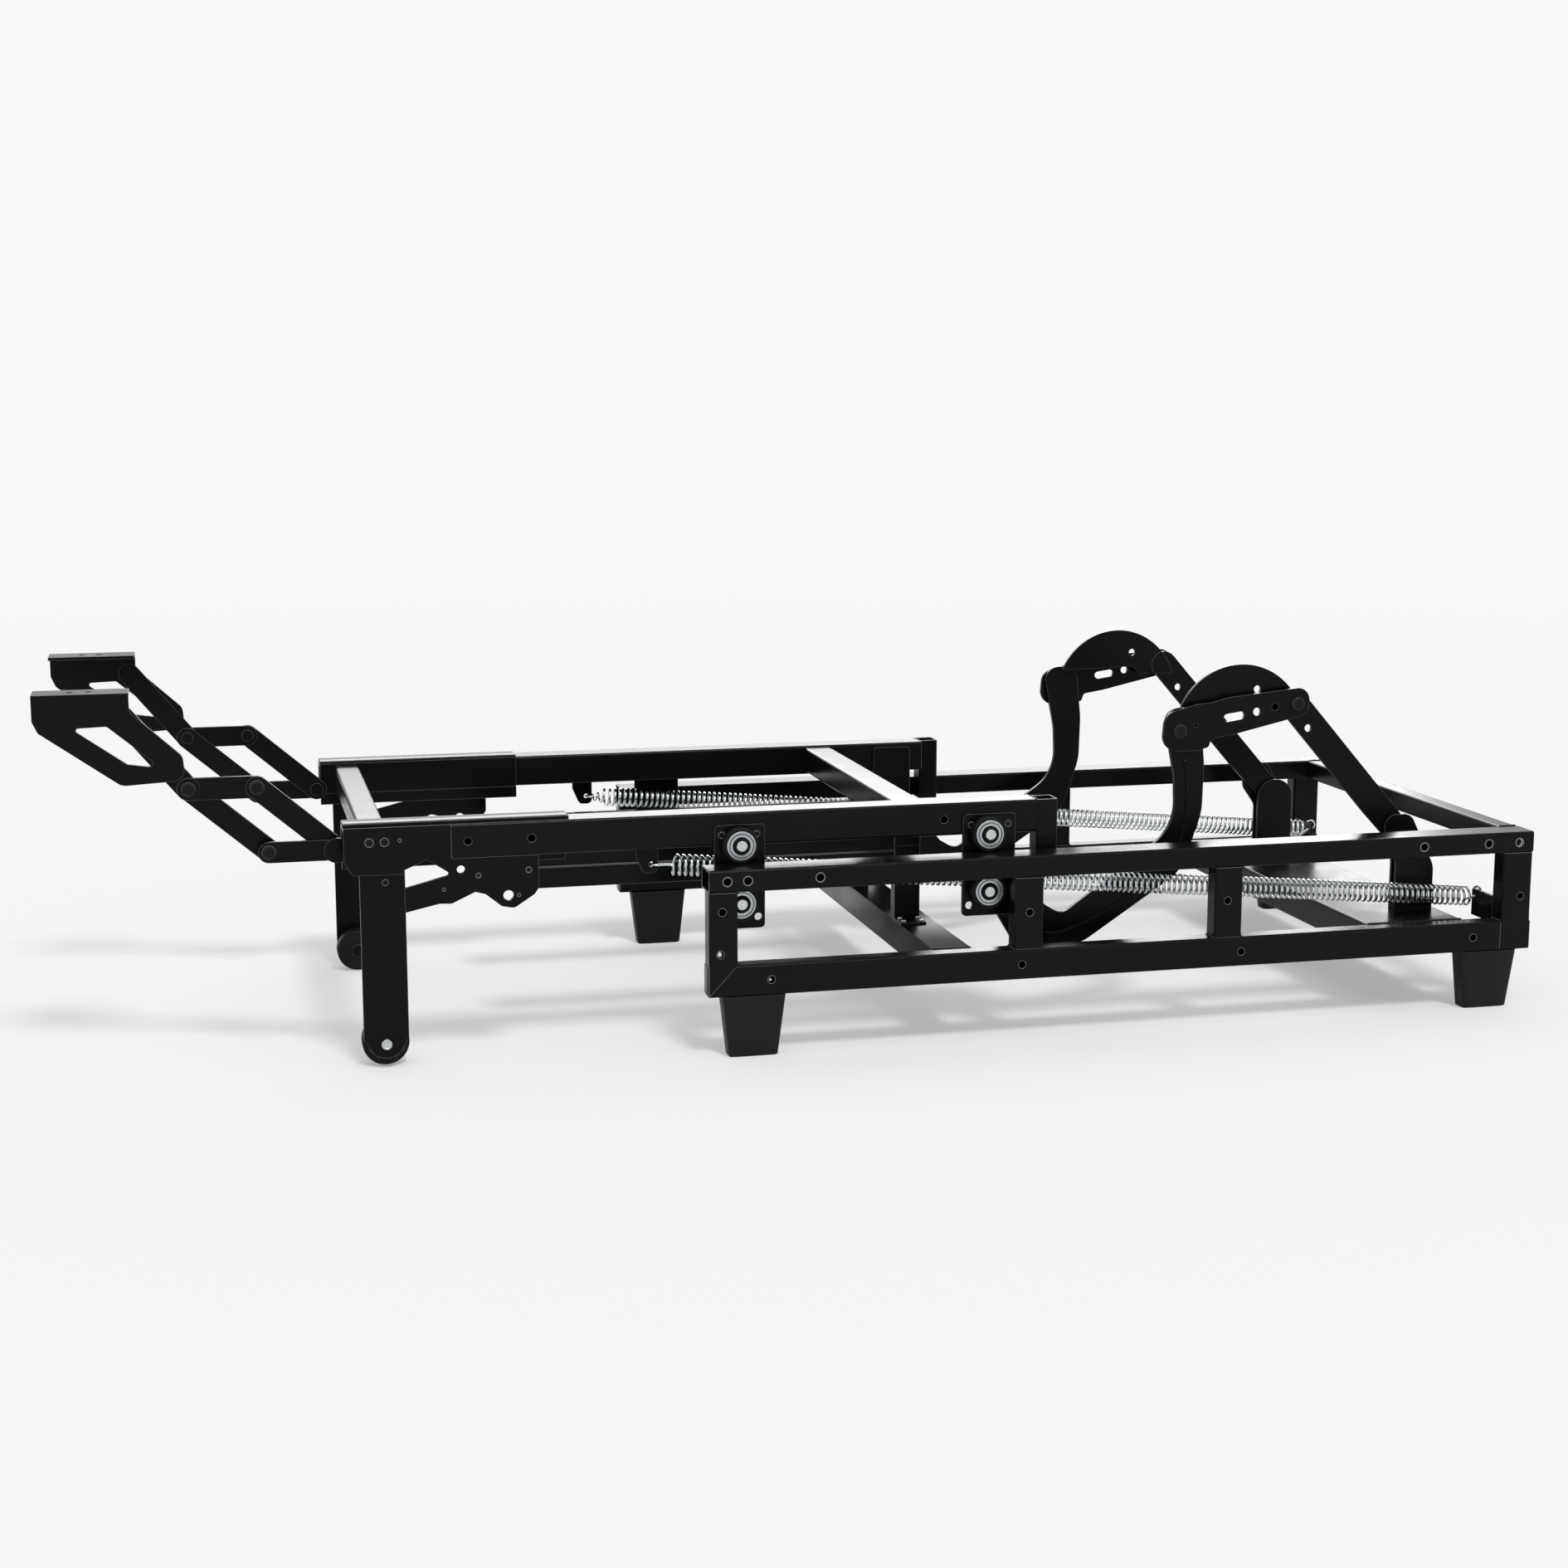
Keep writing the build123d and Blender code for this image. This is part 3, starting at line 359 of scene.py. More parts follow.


# The third colour of each coat is its painted edge highlight. Over the ground joints it equals the
# light colour, so there is none.
TUBE_COAT = powder_coat(
    "powder_coated_steel_tube", "#090a0b", "#0f1112", "#8e9193", 0.22, 0.25, 0.9)
PLATE_COAT = powder_coat(
    "powder_coated_steel_plate", "#060707", "#0c0d0e", "#7b7e80", 0.24, 0.2, 0.7)
WELD_COAT = powder_coat(
    "powder_coated_weld_bead", "#0d0e0f", "#161718", "#7c7f81", 0.24, 0.1, 0.25)
RIVET_COAT = powder_coat(
    "powder_coated_rivet_head", "#0f1011", "#1a1b1c", "#8a8d8f", 0.22, 0.1, 0.25)
SMOOTH_COAT = powder_coat(
    "powder_coat_over_ground_joint", "#090a0b", "#0f1112", "#0f1112", 0.22, 0.25, 0.05)
# Painted highlight: a light metal for thin rings round holes and rivets and for lines beside
# joints, standing in for the light that their edges catch.
HIGHLIGHT_RING_METAL = zinc_plate("rubbed_steel_hole_edge", "#6f7375", "#8d9092", 0.4, 4.0, 0.5)
ZINC = zinc_plate("zinc_plated_turned_steel", "#9da3a6", "#c3c8ca", 0.3, 5.0, 1.6)
BRIGHT_ZINC = zinc_plate("zinc_plated_screw_head", "#a4a9ab", "#e4e6e7", 0.24, 1.8, 1.5)
SPRING_WIRE = zinc_plate("zinc_plated_spring_wire", "#b4b9bc", "#dfe2e4", 0.2, 9.0, 4.5)
FOOT_PLASTIC = moulded_black("moulded_nylon_foot", "#131516", "#1b1d1e", 0.4, 0.9)
WHEEL_PLASTIC = moulded_black("moulded_nylon_wheel", "#0c0d0e", "#141516", 0.5, 0.7)
# Black rubber for seals, also used for dark discs that are painted shade in holes.
BLACK_RUBBER_AND_SHADE = moulded_black("black_rubber_seal", "#0b0b0c", "#121213", 0.6, 0.5)

# CAD nodes whose names start like this are tubes
TUBES = (
    "upper_rail", "lower_rail", "frame_posts", "seat_rail", "front_cross_member",
    "rear_cross_member", "rear_top_rail", "drive_posts", "drive_bars", "seat_uprights",
    "front_seat_tube", "rear_seat_tube")


def finish_of(name):
    """The finish that a CAD node's real piece has."""
    if name == "feet":
        return FOOT_PLASTIC
    if name.startswith("leg_wheel"):
        return WHEEL_PLASTIC
    if name.startswith("spring_") and name != "spring_hook_tabs":
        return SPRING_WIRE
    if "_roller_" in name and "plates" not in name:
        return ZINC
    return TUBE_COAT if name.startswith(TUBES) else PLATE_COAT


for name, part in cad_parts.items():
    for place in part.material_slots:
        place.link = "OBJECT"
        place.material = finish_of(name)


# Springs


def bend(start, start_pull, end, end_pull, steps=14):
    """Wire between two points, a cubic that leaves and arrives along the given pulls."""
    t = np.linspace(0, 1, steps)[:, None]
    leaving = (2 * t**3 - 3 * t**2 + 1) * start + (t**3 - 2 * t**2 + t) * start_pull
    return leaving + (3 * t**2 - 2 * t**3) * end + (t**3 - t**2) * end_pull


def spring_skins(neck):
    """Coil along a leaning line: p + e s + r (u cos a + w sin a), the angle a growing by one
    turn for each pitch of s, with an open hook at each end. With a neck, r starts small."""
    line = unit(SPRING_REAR - SPRING_FRONT)
    across = np.array([1.0, 0.0, 0.0])
    above = np.cross(line, across)
    length = np.linalg.norm(SPRING_REAR - SPRING_FRONT)
    first = FRONT_HOOK - (NECK_LENGTH if neck else 0.0)
    s = np.linspace(first, length - REAR_HOOK, 3400)
    # The turns stand wider apart near the front hook, and nowhere quite evenly.
    pitch = COIL_PITCH + 0.4 * np.exp(-(s - FRONT_HOOK).clip(0) / 30)
    pitch = pitch * (1 + 0.05 * np.sin(s / 7.3) + 0.04 * np.sin(s / 2.9 + 1))
    angle = np.concatenate([[0.0], np.cumsum(2 * np.pi * np.diff(s) / pitch[1:])])
    grown = ((s - FRONT_HOOK) / NECK_GROWTH + 1).clip(0, 1) if neck else np.ones_like(s)
    radius = NECK_RADIUS + (COIL_RADIUS - NECK_RADIUS) * grown * grown * (3 - 2 * grown)
    out = across * np.cos(angle)[:, None] + above * np.sin(angle)[:, None]
    coil = SPRING_FRONT + line * s[:, None] + out * radius[:, None]
    skins = [wire(coil, out, WIRE_RADIUS, steps=6)]

    swing = np.radians(np.linspace(-115, 90, 22))[:, None]
    centre = SPRING_FRONT + line * FRONT_HOOK_RADIUS
    hook = centre + FRONT_HOOK_RADIUS * (across * np.sin(swing) - line * np.cos(swing))
    skins.append(wire(hook, above, WIRE_RADIUS))
    tangent = unit(coil[2] - coil[0])
    lead = bend(hook[-1], line * 6, coil[0], tangent * 10)
    # The side leans a little, to stay clear of the wire's own direction.
    skins.append(wire(lead, across + 0.01, WIRE_RADIUS))

    swing = np.radians(np.linspace(0, 235, 24))[:, None]
    rise = above * np.sign(above[2])
    centre = SPRING_REAR + rise * REAR_HOOK_RADIUS
    loop = centre + REAR_HOOK_RADIUS * (line * np.sin(swing) - rise * np.cos(swing))
    skins.append(wire(loop, across, WIRE_RADIUS))
    tangent = unit(coil[-1] - coil[-3])
    tail = bend(coil[-1], tangent * 9, SPRING_REAR, line * 9)
    skins.append(wire(tail, unit(across + 0.3 * above), WIRE_RADIUS))
    return skins


for side, sign in SIDES:
    skins = spring_skins(neck=sign < 0)
    coil = piece("spring_coil_" + side, [
        (SPRING_WIRE, skins if sign > 0 else mirrored(skins))], "base", 60.0)
    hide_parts("spring_" + side)
    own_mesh(coil)


# Rollers, their axle heads and the rivets of the roller plates

# Nylon tread, a zinc ring pressed into it, and the seal between the ring and the axle.
ROLLER_TREAD = [
    (ROLLER_INNER, ROLLER_BORE), (ROLLER_INNER, ROLLER_RADIUS - 0.8),
    (ROLLER_INNER + 0.8, ROLLER_RADIUS), (ROLLER_OUTER - 1.6, ROLLER_RADIUS),
    (ROLLER_OUTER - 0.8, ROLLER_RADIUS - 0.6), (ROLLER_OUTER - 0.8, 13.5),
    (ROLLER_OUTER - 1.2, 13.2), (ROLLER_OUTER - 1.2, ROLLER_BORE)]
ROLLER_RING = [
    (ROLLER_OUTER - 1.4, 7.3), (ROLLER_OUTER - 1.4, 13.1), (ROLLER_OUTER - 0.3, 13.1),
    (ROLLER_OUTER, 12.8), (ROLLER_OUTER, 11.6), (ROLLER_OUTER - 1.1, 11.3),
    (ROLLER_OUTER - 1.1, 10.4), (ROLLER_OUTER - 0.1, 10.1), (ROLLER_OUTER, 8.2),
    (ROLLER_OUTER - 0.5, 7.6)]
ROLLER_SEAL = [
    (ROLLER_OUTER - 1.3, ROLLER_BORE), (ROLLER_OUTER - 1.3, 7.4),
    (ROLLER_OUTER - 0.6, 7.4), (ROLLER_OUTER - 0.6, ROLLER_BORE)]

# A rubber ring round each axle's head, and the head with faint rings turned in it.
HEAD_SEAL = [
    (AXLE_SEAT, 4.5), (AXLE_SEAT, 6.65), (214.1, 6.65), (214.4, 6.3), (214.35, 4.5)]
AXLE_HEAD = [
    (AXLE_SEAT, 0.0), (AXLE_SEAT, 4.8), (214.5, 4.8), (214.75, 4.4), (214.7, 3.4),
    (214.5, 2.9), (214.65, 2.2), (214.75, 1.2), (214.6, 0.0)]

for end, place in ROLLER_PLACES:
    for level, height in ROLLER_HEIGHTS:
        centre = (place, height)
        name = end + "_" + level + "_roller_"
        layers = [(WHEEL_PLASTIC, [turned(centre, ROLLER_TREAD, ring=True)]),
                  (ZINC, [turned(centre, ROLLER_RING, ring=True)]),
                  (BLACK_RUBBER_AND_SHADE, [turned(centre, ROLLER_SEAL, ring=True)])]
        on_both_sides(name + "disc", layers, name, replaced=name)


# Round details that sit on a face: rivets, and light rings round holes that are painted highlights
# of their edges


def rivet(centre, face, radius):
    """Flat rivet head with a raised ring and a sunk middle, on a face that looks along X."""
    return turned(centre, [
        (face - 0.2, 0.0), (face - 0.2, radius), (face + 0.25, radius),
        (face + 0.55, 0.88 * radius), (face + 0.5, 0.72 * radius),
        (face + 0.15, 0.6 * radius), (face + 0.2, 0.0)], steps=28)


def collar(centre, face, radius, thick):
    """Thin ring of round section lying in the face round a hole, which carries the painted
    highlight of the hole's edge.
    """
    turn = np.linspace(0, 2 * np.pi, 8, endpoint=False)
    profile = np.column_stack([face + thick * np.cos(turn), radius + thick * np.sin(turn)])
    return turned(centre, profile, steps=32, ring=True)


on_both_sides("axle_heads", [
    (BRIGHT_ZINC, [turned(axle, AXLE_HEAD) for axle in AXLES]),
    (BLACK_RUBBER_AND_SHADE, [turned(axle, HEAD_SEAL, ring=True) for axle in AXLES])],
    "seat_frame")


def riveted(name, face, rivets):
    """Rivet heads on a face, each with a light ring round its sunk middle, a painted highlight."""
    on_both_sides(name, [
        (RIVET_COAT, [rivet(centre, face, radius) for centre, radius in rivets]),
        (HIGHLIGHT_RING_METAL, [collar(centre, face + 0.4, 0.86 * radius, 0.22)
                       for centre, radius in rivets])], "seat_frame")


# Each rivet is given by its place and its radius.
riveted("roller_plate_rivets", ROLLER_PLATE_FACE, [
    ((-380.5, 194.5), 3.4), ((-348.7, 194.5), 3.4), ((-148.4, 193.5), 3.4),
    ((-113.1, 193.5), 3.4)])


# Base frame: bright ends in two holes as painted light, hole edges with painted highlights, corner
# joints, a dark disc as painted shade in a hole, and weld beads


def hole_light_stud(centre, radius):
    """Bright end that stands inside a tube, its tip just under the hole in the outer face: painted
    light, standing in for the light that shows through the hole.
    """
    return turned(centre, [
        (LOWER_INNER + 1.0, 0.0), (LOWER_INNER + 1.0, radius), (BASE_SIDE - 1.0, radius),
        (BASE_SIDE - 0.5, 0.75 * radius), (BASE_SIDE - 0.45, 0.0)], steps=20)


on_both_sides("base_frame_studs", [(BRIGHT_ZINC, [
    hole_light_stud((-345.0, 70.0), 1.6), hole_light_stud((-390.6, 95.0), 2.6)])], "base")

UPPER_RAIL_HOLES = [(place, 160.0) for place in (-383.5, -365.0, -299.5, 286.0, 353.0, 385.0)]
LOWER_FRAME_HOLES = (
    (-344.0, 70.0), (-110.5, 70.0), (103.5, 70.0), (341.0, 70.0), (-388.0, 133.0),
    (-390.0, 95.0), (-104.0, 118.0), (88.5, 119.0), (388.5, 108.0))

# Light rings round the holes of the rails: painted highlights of the hole edges.
on_both_sides("upper_rail_hole_edges", [(HIGHLIGHT_RING_METAL, [
    collar(hole, BASE_SIDE, 4.2, 0.45) for hole in UPPER_RAIL_HOLES])], "base")

on_both_sides("lower_frame_hole_edges", [(HIGHLIGHT_RING_METAL, [
    collar(hole, BASE_SIDE, 3.6, 0.2) for hole in LOWER_FRAME_HOLES])], "base")

# A mitre at the front, a butt joint at the rear, both within the lower rail's height.
JOINT_LOW = 57.6
JOINT_HIGH = 83.6
JOINTS = (((-399.0, JOINT_LOW), (-374.4, JOINT_HIGH)),
          ((370.0, JOINT_LOW), (370.0, JOINT_HIGH)))


def joint_lines(shift, radius):
    """Thin bead along each joint, half sunk in the face: a straight wire, shifted forward."""
    return [wire(np.linspace((BASE_SIDE, start[0] + shift, start[1]),
                             (BASE_SIDE, end[0] + shift, end[1]), 6), ACROSS, radius)
            for start, end in JOINTS]


def ground_patch(front, rear, low, high):
    """Joint ground flush and coated over, a tenth of a millimetre proud of the tubes."""
    return slab([(front, low), (rear, low), (rear, high), (front, high)],
                BASE_SIDE - 0.4, BASE_SIDE + 0.1, 0.05)


# The dark line is the joint itself. The light line 0.75 mm in front of it is a painted highlight
# on the joint's edge.
on_both_sides("corner_joints", [
    (BLACK_RUBBER_AND_SHADE, joint_lines(0.0, 0.4)), (HIGHLIGHT_RING_METAL, joint_lines(-0.75, 0.2)),
    (SMOOTH_COAT, [ground_patch(-399.0, -375.2, 79.0, 89.0),
                   ground_patch(371.0, 399.0, 58.0, 89.0)])],
    "base")

# The rearmost hole of the upper rail looks dark, so a dark disc closes it behind the wall: painted
# shade, standing in for the shade inside the tube.
HOLE_SHADE_DISC = [
    (BASE_SIDE - 3.5, 0.0), (BASE_SIDE - 3.5, 3.4), (BASE_SIDE - 2.0, 3.4),
    (BASE_SIDE - 1.8, 0.0)]
on_both_sides("post_hole_plugs", [
    (BLACK_RUBBER_AND_SHADE, [turned(UPPER_RAIL_HOLES[-1], HOLE_SHADE_DISC, steps=24)])],
    "base")


def weld(start, end, side, radius=1.5):
    """Weld bead: a straight wire whose radius swells by an eighth every 2.2 mm, and narrows
    over the last millimetre at each end."""
    start, end = np.array(start, float), np.array(end, float)
    length = np.linalg.norm(end - start)
    t = np.linspace(0, 1, max(12, int(length / 0.45)))
    swell = 1 + 0.12 * np.sin(2 * np.pi * t * length / 2.2) + 0.05 * np.sin(31 * t)
    taper = np.minimum(1, 4 * np.minimum(t, 1 - t) * length / 8 + 0.45)
    return wire(start + (end - start) * t[:, None], side, radius * swell * taper, steps=10)


POST_EDGES = (-117.5, -90.5, 76.5, 103.5, -374.0, 370.0)
CROSS_MEMBER_EDGES = ((-190.0, -152.5), (241.0, 339.0))
TOP_RAIL_END = 205.5


def base_welds():
    """Beads at both ends of the posts and where the cross members meet the rails."""
    beads = [weld((LOWER_INNER + 1.5, edge, height), (BASE_SIDE - 1.5, edge, height), UP)
             for edge in POST_EDGES for height in (LOWER_RAIL_TOP, UPPER_RAIL_UNDERSIDE)]
    beads += [weld((LOWER_INNER, front, JOINT_HIGH), (LOWER_INNER, rear, JOINT_HIGH), UP)
              for front, rear in CROSS_MEMBER_EDGES]
    return beads + [weld((TOP_RAIL_END, 381.0, 169.6), (TOP_RAIL_END, 399.0, 169.6), UP)]


on_both_sides("base_weld_beads", [(WELD_COAT, base_welds())], "base")

# Two beads where a seat rail ends at its upright, and one at the end of each seat tube.
SEAT_RAIL_REAR = -84.0
SEAT_TUBE_TOP = 211.6
on_both_sides("seat_weld_beads", [(WELD_COAT, [
    weld((196.8, SEAT_RAIL_REAR, 186.0), (196.8, SEAT_RAIL_REAR, 213.0), BACK, 0.9),
    weld((176.0, SEAT_RAIL_REAR, 213.7), (196.0, SEAT_RAIL_REAR, 213.7), BACK, 0.9),
    weld((SEAT_INNER, -211.0, SEAT_TUBE_TOP), (SEAT_INNER, -185.0, SEAT_TUBE_TOP), UP, 1.3),
    weld((164.0, -696.0, SEAT_TUBE_TOP), (164.0, -674.0, SEAT_TUBE_TOP), UP, 1.3)])],
    "seat_frame")


# Feet, narrow across and wider along, each smaller at its sole

FOOT_PLACES = (-359.0, 359.0)


def foot_skin(place):
    """Tapered foot: rings x0 + a c |c|^-3/4, y0 + b s |s|^-3/4 with c and s the cosine and
    sine of the angle, the half widths a and b growing from the sole to the top."""
    steps = 72
    turn = np.linspace(0, 2 * np.pi, steps, endpoint=False)
    across = np.sign(np.cos(turn)) * np.abs(np.cos(turn)) ** 0.25
    along = np.sign(np.sin(turn)) * np.abs(np.sin(turn)) ** 0.25
    # Height, middle across, and the half widths across and along.
    rings = ((0.0, 224.0, 0.0, 0.0), (0.0, 224.0, 8.7, 21.7), (1.0, 224.0, 9.5, 22.5),
             (FOOT_TOP, 226.0, 11.5, 29.0), (FOOT_TOP, 226.0, 0.0, 0.0))
    rows = [np.column_stack([middle + a * across, place + b * along, np.full(steps, height)])
            for height, middle, a, b in rings]
    return skin(np.stack(rows))


near_feet = [foot_skin(place) for place in FOOT_PLACES]
feet = piece("tapered_feet", [(FOOT_PLASTIC, near_feet + mirrored(near_feet))],
             "base")
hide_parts("feet")


# Side plates and legs

riveted("side_plate_rivets", SIDE_PLATE_FACE, [
    ((-689.0, 201.0), 4.3), ((-676.0, 201.0), 4.3), ((-663.0, 202.0), 1.8),
    ((-596.0, 168.0), 2.6), ((-552.0, 171.0), 3.0), ((-561.0, 149.0), 1.8),
    ((-626.0, 157.0), 1.8)])

LEG_TIP = (-678.5, 25.0)
LEG_SCREW_PLACE = (-678.5, 21.0)
LEG_HOLE = (-676.0, 165.0)
LIP_RADIUS = 16.5
LEG_SCREW = [
    (LEG_FACE - 0.2, 0.0), (LEG_FACE - 0.2, 5.2), (LEG_FACE + 0.9, 5.2),
    (LEG_FACE + 1.9, 4.5), (LEG_FACE + 2.3, 3.3), (LEG_FACE + 1.7, 2.6),
    (LEG_FACE + 1.6, 1.4), (LEG_FACE + 2.0, 0.7), (LEG_FACE + 2.1, 0.0)]
LEG_HOLE_SHADE_DISC = [
    (LEG_FACE - 0.1, 0.0), (LEG_FACE - 0.1, 2.6), (LEG_FACE + 0.06, 2.6),
    (LEG_FACE + 0.06, 0.0)]


def tip_lip():
    """Lip round the lower half of a leg's tip: a wire along y0 + r cos t, z0 + r sin t."""
    turn = np.radians(np.linspace(205, 335, 28))
    back = LEG_TIP[0] + LIP_RADIUS * np.cos(turn)
    height = LEG_TIP[1] + LIP_RADIUS * np.sin(turn)
    return wire(np.column_stack([0 * turn + LEG_FACE, back, height]), ACROSS, 0.7)


on_both_sides("leg_tip_lip", [(RIVET_COAT, [tip_lip()])], "seat_frame")

on_both_sides("leg_screws", [
    (BRIGHT_ZINC, [turned(LEG_SCREW_PLACE, LEG_SCREW)])], "seat_frame")

# A light ring round the leg's hole is a painted highlight of its edge, and a dark disc in the hole
# is painted shade.
on_both_sides("leg_hole_edges", [
    (HIGHLIGHT_RING_METAL, [collar(LEG_HOLE, LEG_FACE, 2.7, 0.25)]),
    (BLACK_RUBBER_AND_SHADE, [turned(LEG_HOLE, LEG_HOLE_SHADE_DISC)])], "seat_frame")


# Links of the footrest with their pins, and the caps of the back pivots

KNEE_UPPER = (-780.51, 246.95)
KNEE_LOWER = (-772.5, 190.0)
FAR_CROSSING = (-838.01, 246.95)
FIRST_CROSSING = (-715.0, 190.0)
FOOTREST_JOINT = (-890.51, 311.45)
BACK_PIVOT = (65.0, 268.0)
STRUT_TOP = (184.0, 290.0)
LINK_THICKNESS = 3.0
LINK_WIDTH = 20.0
PIN_RADIUS = 4.0
PIN_HEAD_RADIUS = 6.2
PIN_HEAD = 1.5
CAP_RADIUS = 5.8
BACK_PIN_FACE = 172.25


def capped(centre, face):
    """Ringed rivet cap on the flat head of a pivot pin."""
    rings = ((-0.1, 0.0), (-0.1, 1.0), (0.35, 0.95), (0.6, 0.8), (0.3, 0.66), (0.25, 0.55),
             (0.55, 0.42), (0.65, 0.2), (0.6, 0.0))
    return turned(centre, [(face + rise, part * CAP_RADIUS) for rise, part in rings])


def link_outline(start, end, width):
    """Half circle round each pivot, p + w/2 (cos t, sin t), joined by straight sides."""
    start, end = np.array(start, float), np.array(end, float)
    across, up = end - start
    turn = np.arctan2(up, across) + np.linspace(np.pi / 2, 3 * np.pi / 2, 14)
    half = width / 2 * np.column_stack([np.cos(turn), np.sin(turn)])
    return np.vstack([start + half, end - half])


def link_plate(start, end, width, low):
    """Flat steel link between two pivots."""
    return slab(link_outline(start, end, width), low, low + LINK_THICKNESS, 0.4)


def link_pin(centre, inner, outer):
    """Pin through the links with a flat head at each end."""
    return turned(centre, [
        (inner, 0.0), (inner, 5.4), (inner + 0.7, PIN_HEAD_RADIUS),
        (inner + PIN_HEAD, PIN_HEAD_RADIUS), (inner + PIN_HEAD, PIN_RADIUS),
        (outer - PIN_HEAD, PIN_RADIUS), (outer - PIN_HEAD, PIN_HEAD_RADIUS),
        (outer - 0.4, PIN_HEAD_RADIUS), (outer, 5.7), (outer, 0.0)])


def link(name, body, plates, pin=None):
    """A link of the footrest on each side, with its pin, given as (centre, inner end, outer
    end), and the pin's ringed cap when it carries one."""
    layers = [(PLATE_COAT, plates)]
    if pin:
        centre, inner, outer = pin
        layers += [(PLATE_COAT, [link_pin(centre, inner, outer)]),
                   (RIVET_COAT, [capped(centre, outer)])]
    on_both_sides(name + "plate", layers, body, replaced=name)


# The last number of a plate is its inner face. From the inside out: long, front, upper, lower.
link("lower_link_", "lower_link_", [link_plate(FIRST_CROSSING, KNEE_LOWER, 18.5, 160.5)],
     (KNEE_LOWER, 148.2, 165.0))
link("upper_link_", "upper_link_", [link_plate(FIRST_CROSSING, KNEE_UPPER, LINK_WIDTH, 157.0)],
     (KNEE_UPPER, 151.7, 161.5))
link("long_link_", "long_link_", [link_plate(KNEE_LOWER, FAR_CROSSING, LINK_WIDTH, 150.0)])
link("front_link_", "footrest_arm_", [
    link_plate(KNEE_UPPER, FAR_CROSSING, 19.5, 153.5),
    link_plate(FAR_CROSSING, FOOTREST_JOINT, LINK_WIDTH, 153.4)],
    (FAR_CROSSING, 148.2, 158.0))
on_both_sides("back_pivot_cap", [(RIVET_COAT, [capped(BACK_PIVOT, BACK_PIN_FACE)])],
              "seat_frame")
on_both_sides("strut_top_cap", [(RIVET_COAT, [capped(STRUT_TOP, BACK_PIN_FACE)])],
              "back_strut_")


# Back struts: a bar and a dome over the back bracket, each with one hole

STRUT_FOOT = (316.0, 140.0)
STRUT_WIDTH = 28.0
STRUT_HOLE = (200.5, 265.0)
STRUT_INNER = 157.0
STRUT_OUTER = 160.0
DOME_CENTRE = (130.0, 262.0)
DOME_RADIUS = 66.0
DOME_HOLE = (147.0, 304.0)
DOME_SHIFT = 0.06
STRUT_HOLE_RADIUS = 3.5


def holed_plate(corners, hole, radius, low, high):
    """Flat plate with a round hole. At each angle t round the hole the plate reaches from
    the hole's radius to where the ray (cos t, sin t) leaves the outline."""
    corners, hole = np.array(corners, float), np.array(hole, float)
    turn = np.linspace(0, 2 * np.pi, 120, endpoint=False)
    ray = np.column_stack([np.cos(turn), np.sin(turn)])[:, None]
    start = (corners - hole)[None]
    side = (np.roll(corners, -1, axis=0) - corners)[None]
    slant = ray[..., 0] * side[..., 1] - ray[..., 1] * side[..., 0]
    slant = np.where(np.abs(slant) < 1e-9, 1e-9, slant)
    reach = (start[..., 0] * side[..., 1] - start[..., 1] * side[..., 0]) / slant
    along = (start[..., 0] * ray[..., 1] - start[..., 1] * ray[..., 0]) / slant
    hit = (reach > 0) & (along >= -1e-6) & (along <= 1 + 1e-6)
    edge = hole + ray[:, 0] * np.where(hit, reach, np.inf).min(axis=1)[:, None]
    rim = hole + radius * ray[:, 0]
    rings = ((rim, low), (edge, low), (edge, high), (rim, high))
    rows = [np.column_stack([np.full(len(ring), x), ring]) for ring, x in rings]
    return skin(np.stack(rows), round_rows=True)


def dome_outline():
    """Arc c + r (cos t, sin t) over the bracket, closed by a low edge that clears the
    bracket's slot and hole."""
    turn = np.radians(np.linspace(16, 158, 40))
    arc = DOME_CENTRE + DOME_RADIUS * np.column_stack([np.cos(turn), np.sin(turn)])
    return np.vstack([arc, [(134.0, 288.5), (149.0, 288.5), (155.0, 281.0)]])


# The dome lies a hair further out than the bar, so that their faces don't coincide.
STRUT_PLATES = [
    holed_plate(link_outline(STRUT_TOP, STRUT_FOOT, STRUT_WIDTH), STRUT_HOLE,
                STRUT_HOLE_RADIUS, STRUT_INNER, STRUT_OUTER),
    holed_plate(dome_outline(), DOME_HOLE,
                STRUT_HOLE_RADIUS, STRUT_INNER + DOME_SHIFT, STRUT_OUTER + DOME_SHIFT)]
# From the strut out through the bracket, with a shoulder before it and a head behind.
STRUT_PIN = [
    (STRUT_OUTER - 0.1, 0.0), (STRUT_OUTER - 0.1, 6.5), (167.0, 6.5), (167.0, PIN_RADIUS),
    (170.75, PIN_RADIUS), (170.75, 6.5), (171.8, 6.5), (BACK_PIN_FACE, 5.9),
    (BACK_PIN_FACE, 0.0)]
on_both_sides("back_strut_plate", [
    (PLATE_COAT, STRUT_PLATES + [turned(STRUT_TOP, STRUT_PIN)])],
    "back_strut_", replaced="back_strut_")


# Pressed bead along the back arms

ARM_FACE = 167.0
ARM_LINE = smooth([(ARM_FACE, back, height) for back, height in (
    (72.0, 240.0), (75.0, 215.0), (74.0, 185.0), (66.0, 155.0), (38.0, 127.0), (-4.0, 100.0),
    (-48.0, 82.0), (-78.0, 88.0), (-104.0, 118.0), (-118.0, 140.0))], 12)
on_both_sides("arm_bead", [
    (PLATE_COAT, [wire(ARM_LINE, ACROSS, 1.3, steps=12)])], "seat_frame")


# Blocks: upper part of the drive bars, caps of the lower rails, front cross member, and the
# edges of the inner plates beyond their faces

DRIVE_BAR_FRONT = -545.0
DRIVE_BAR_REAR = -189.5

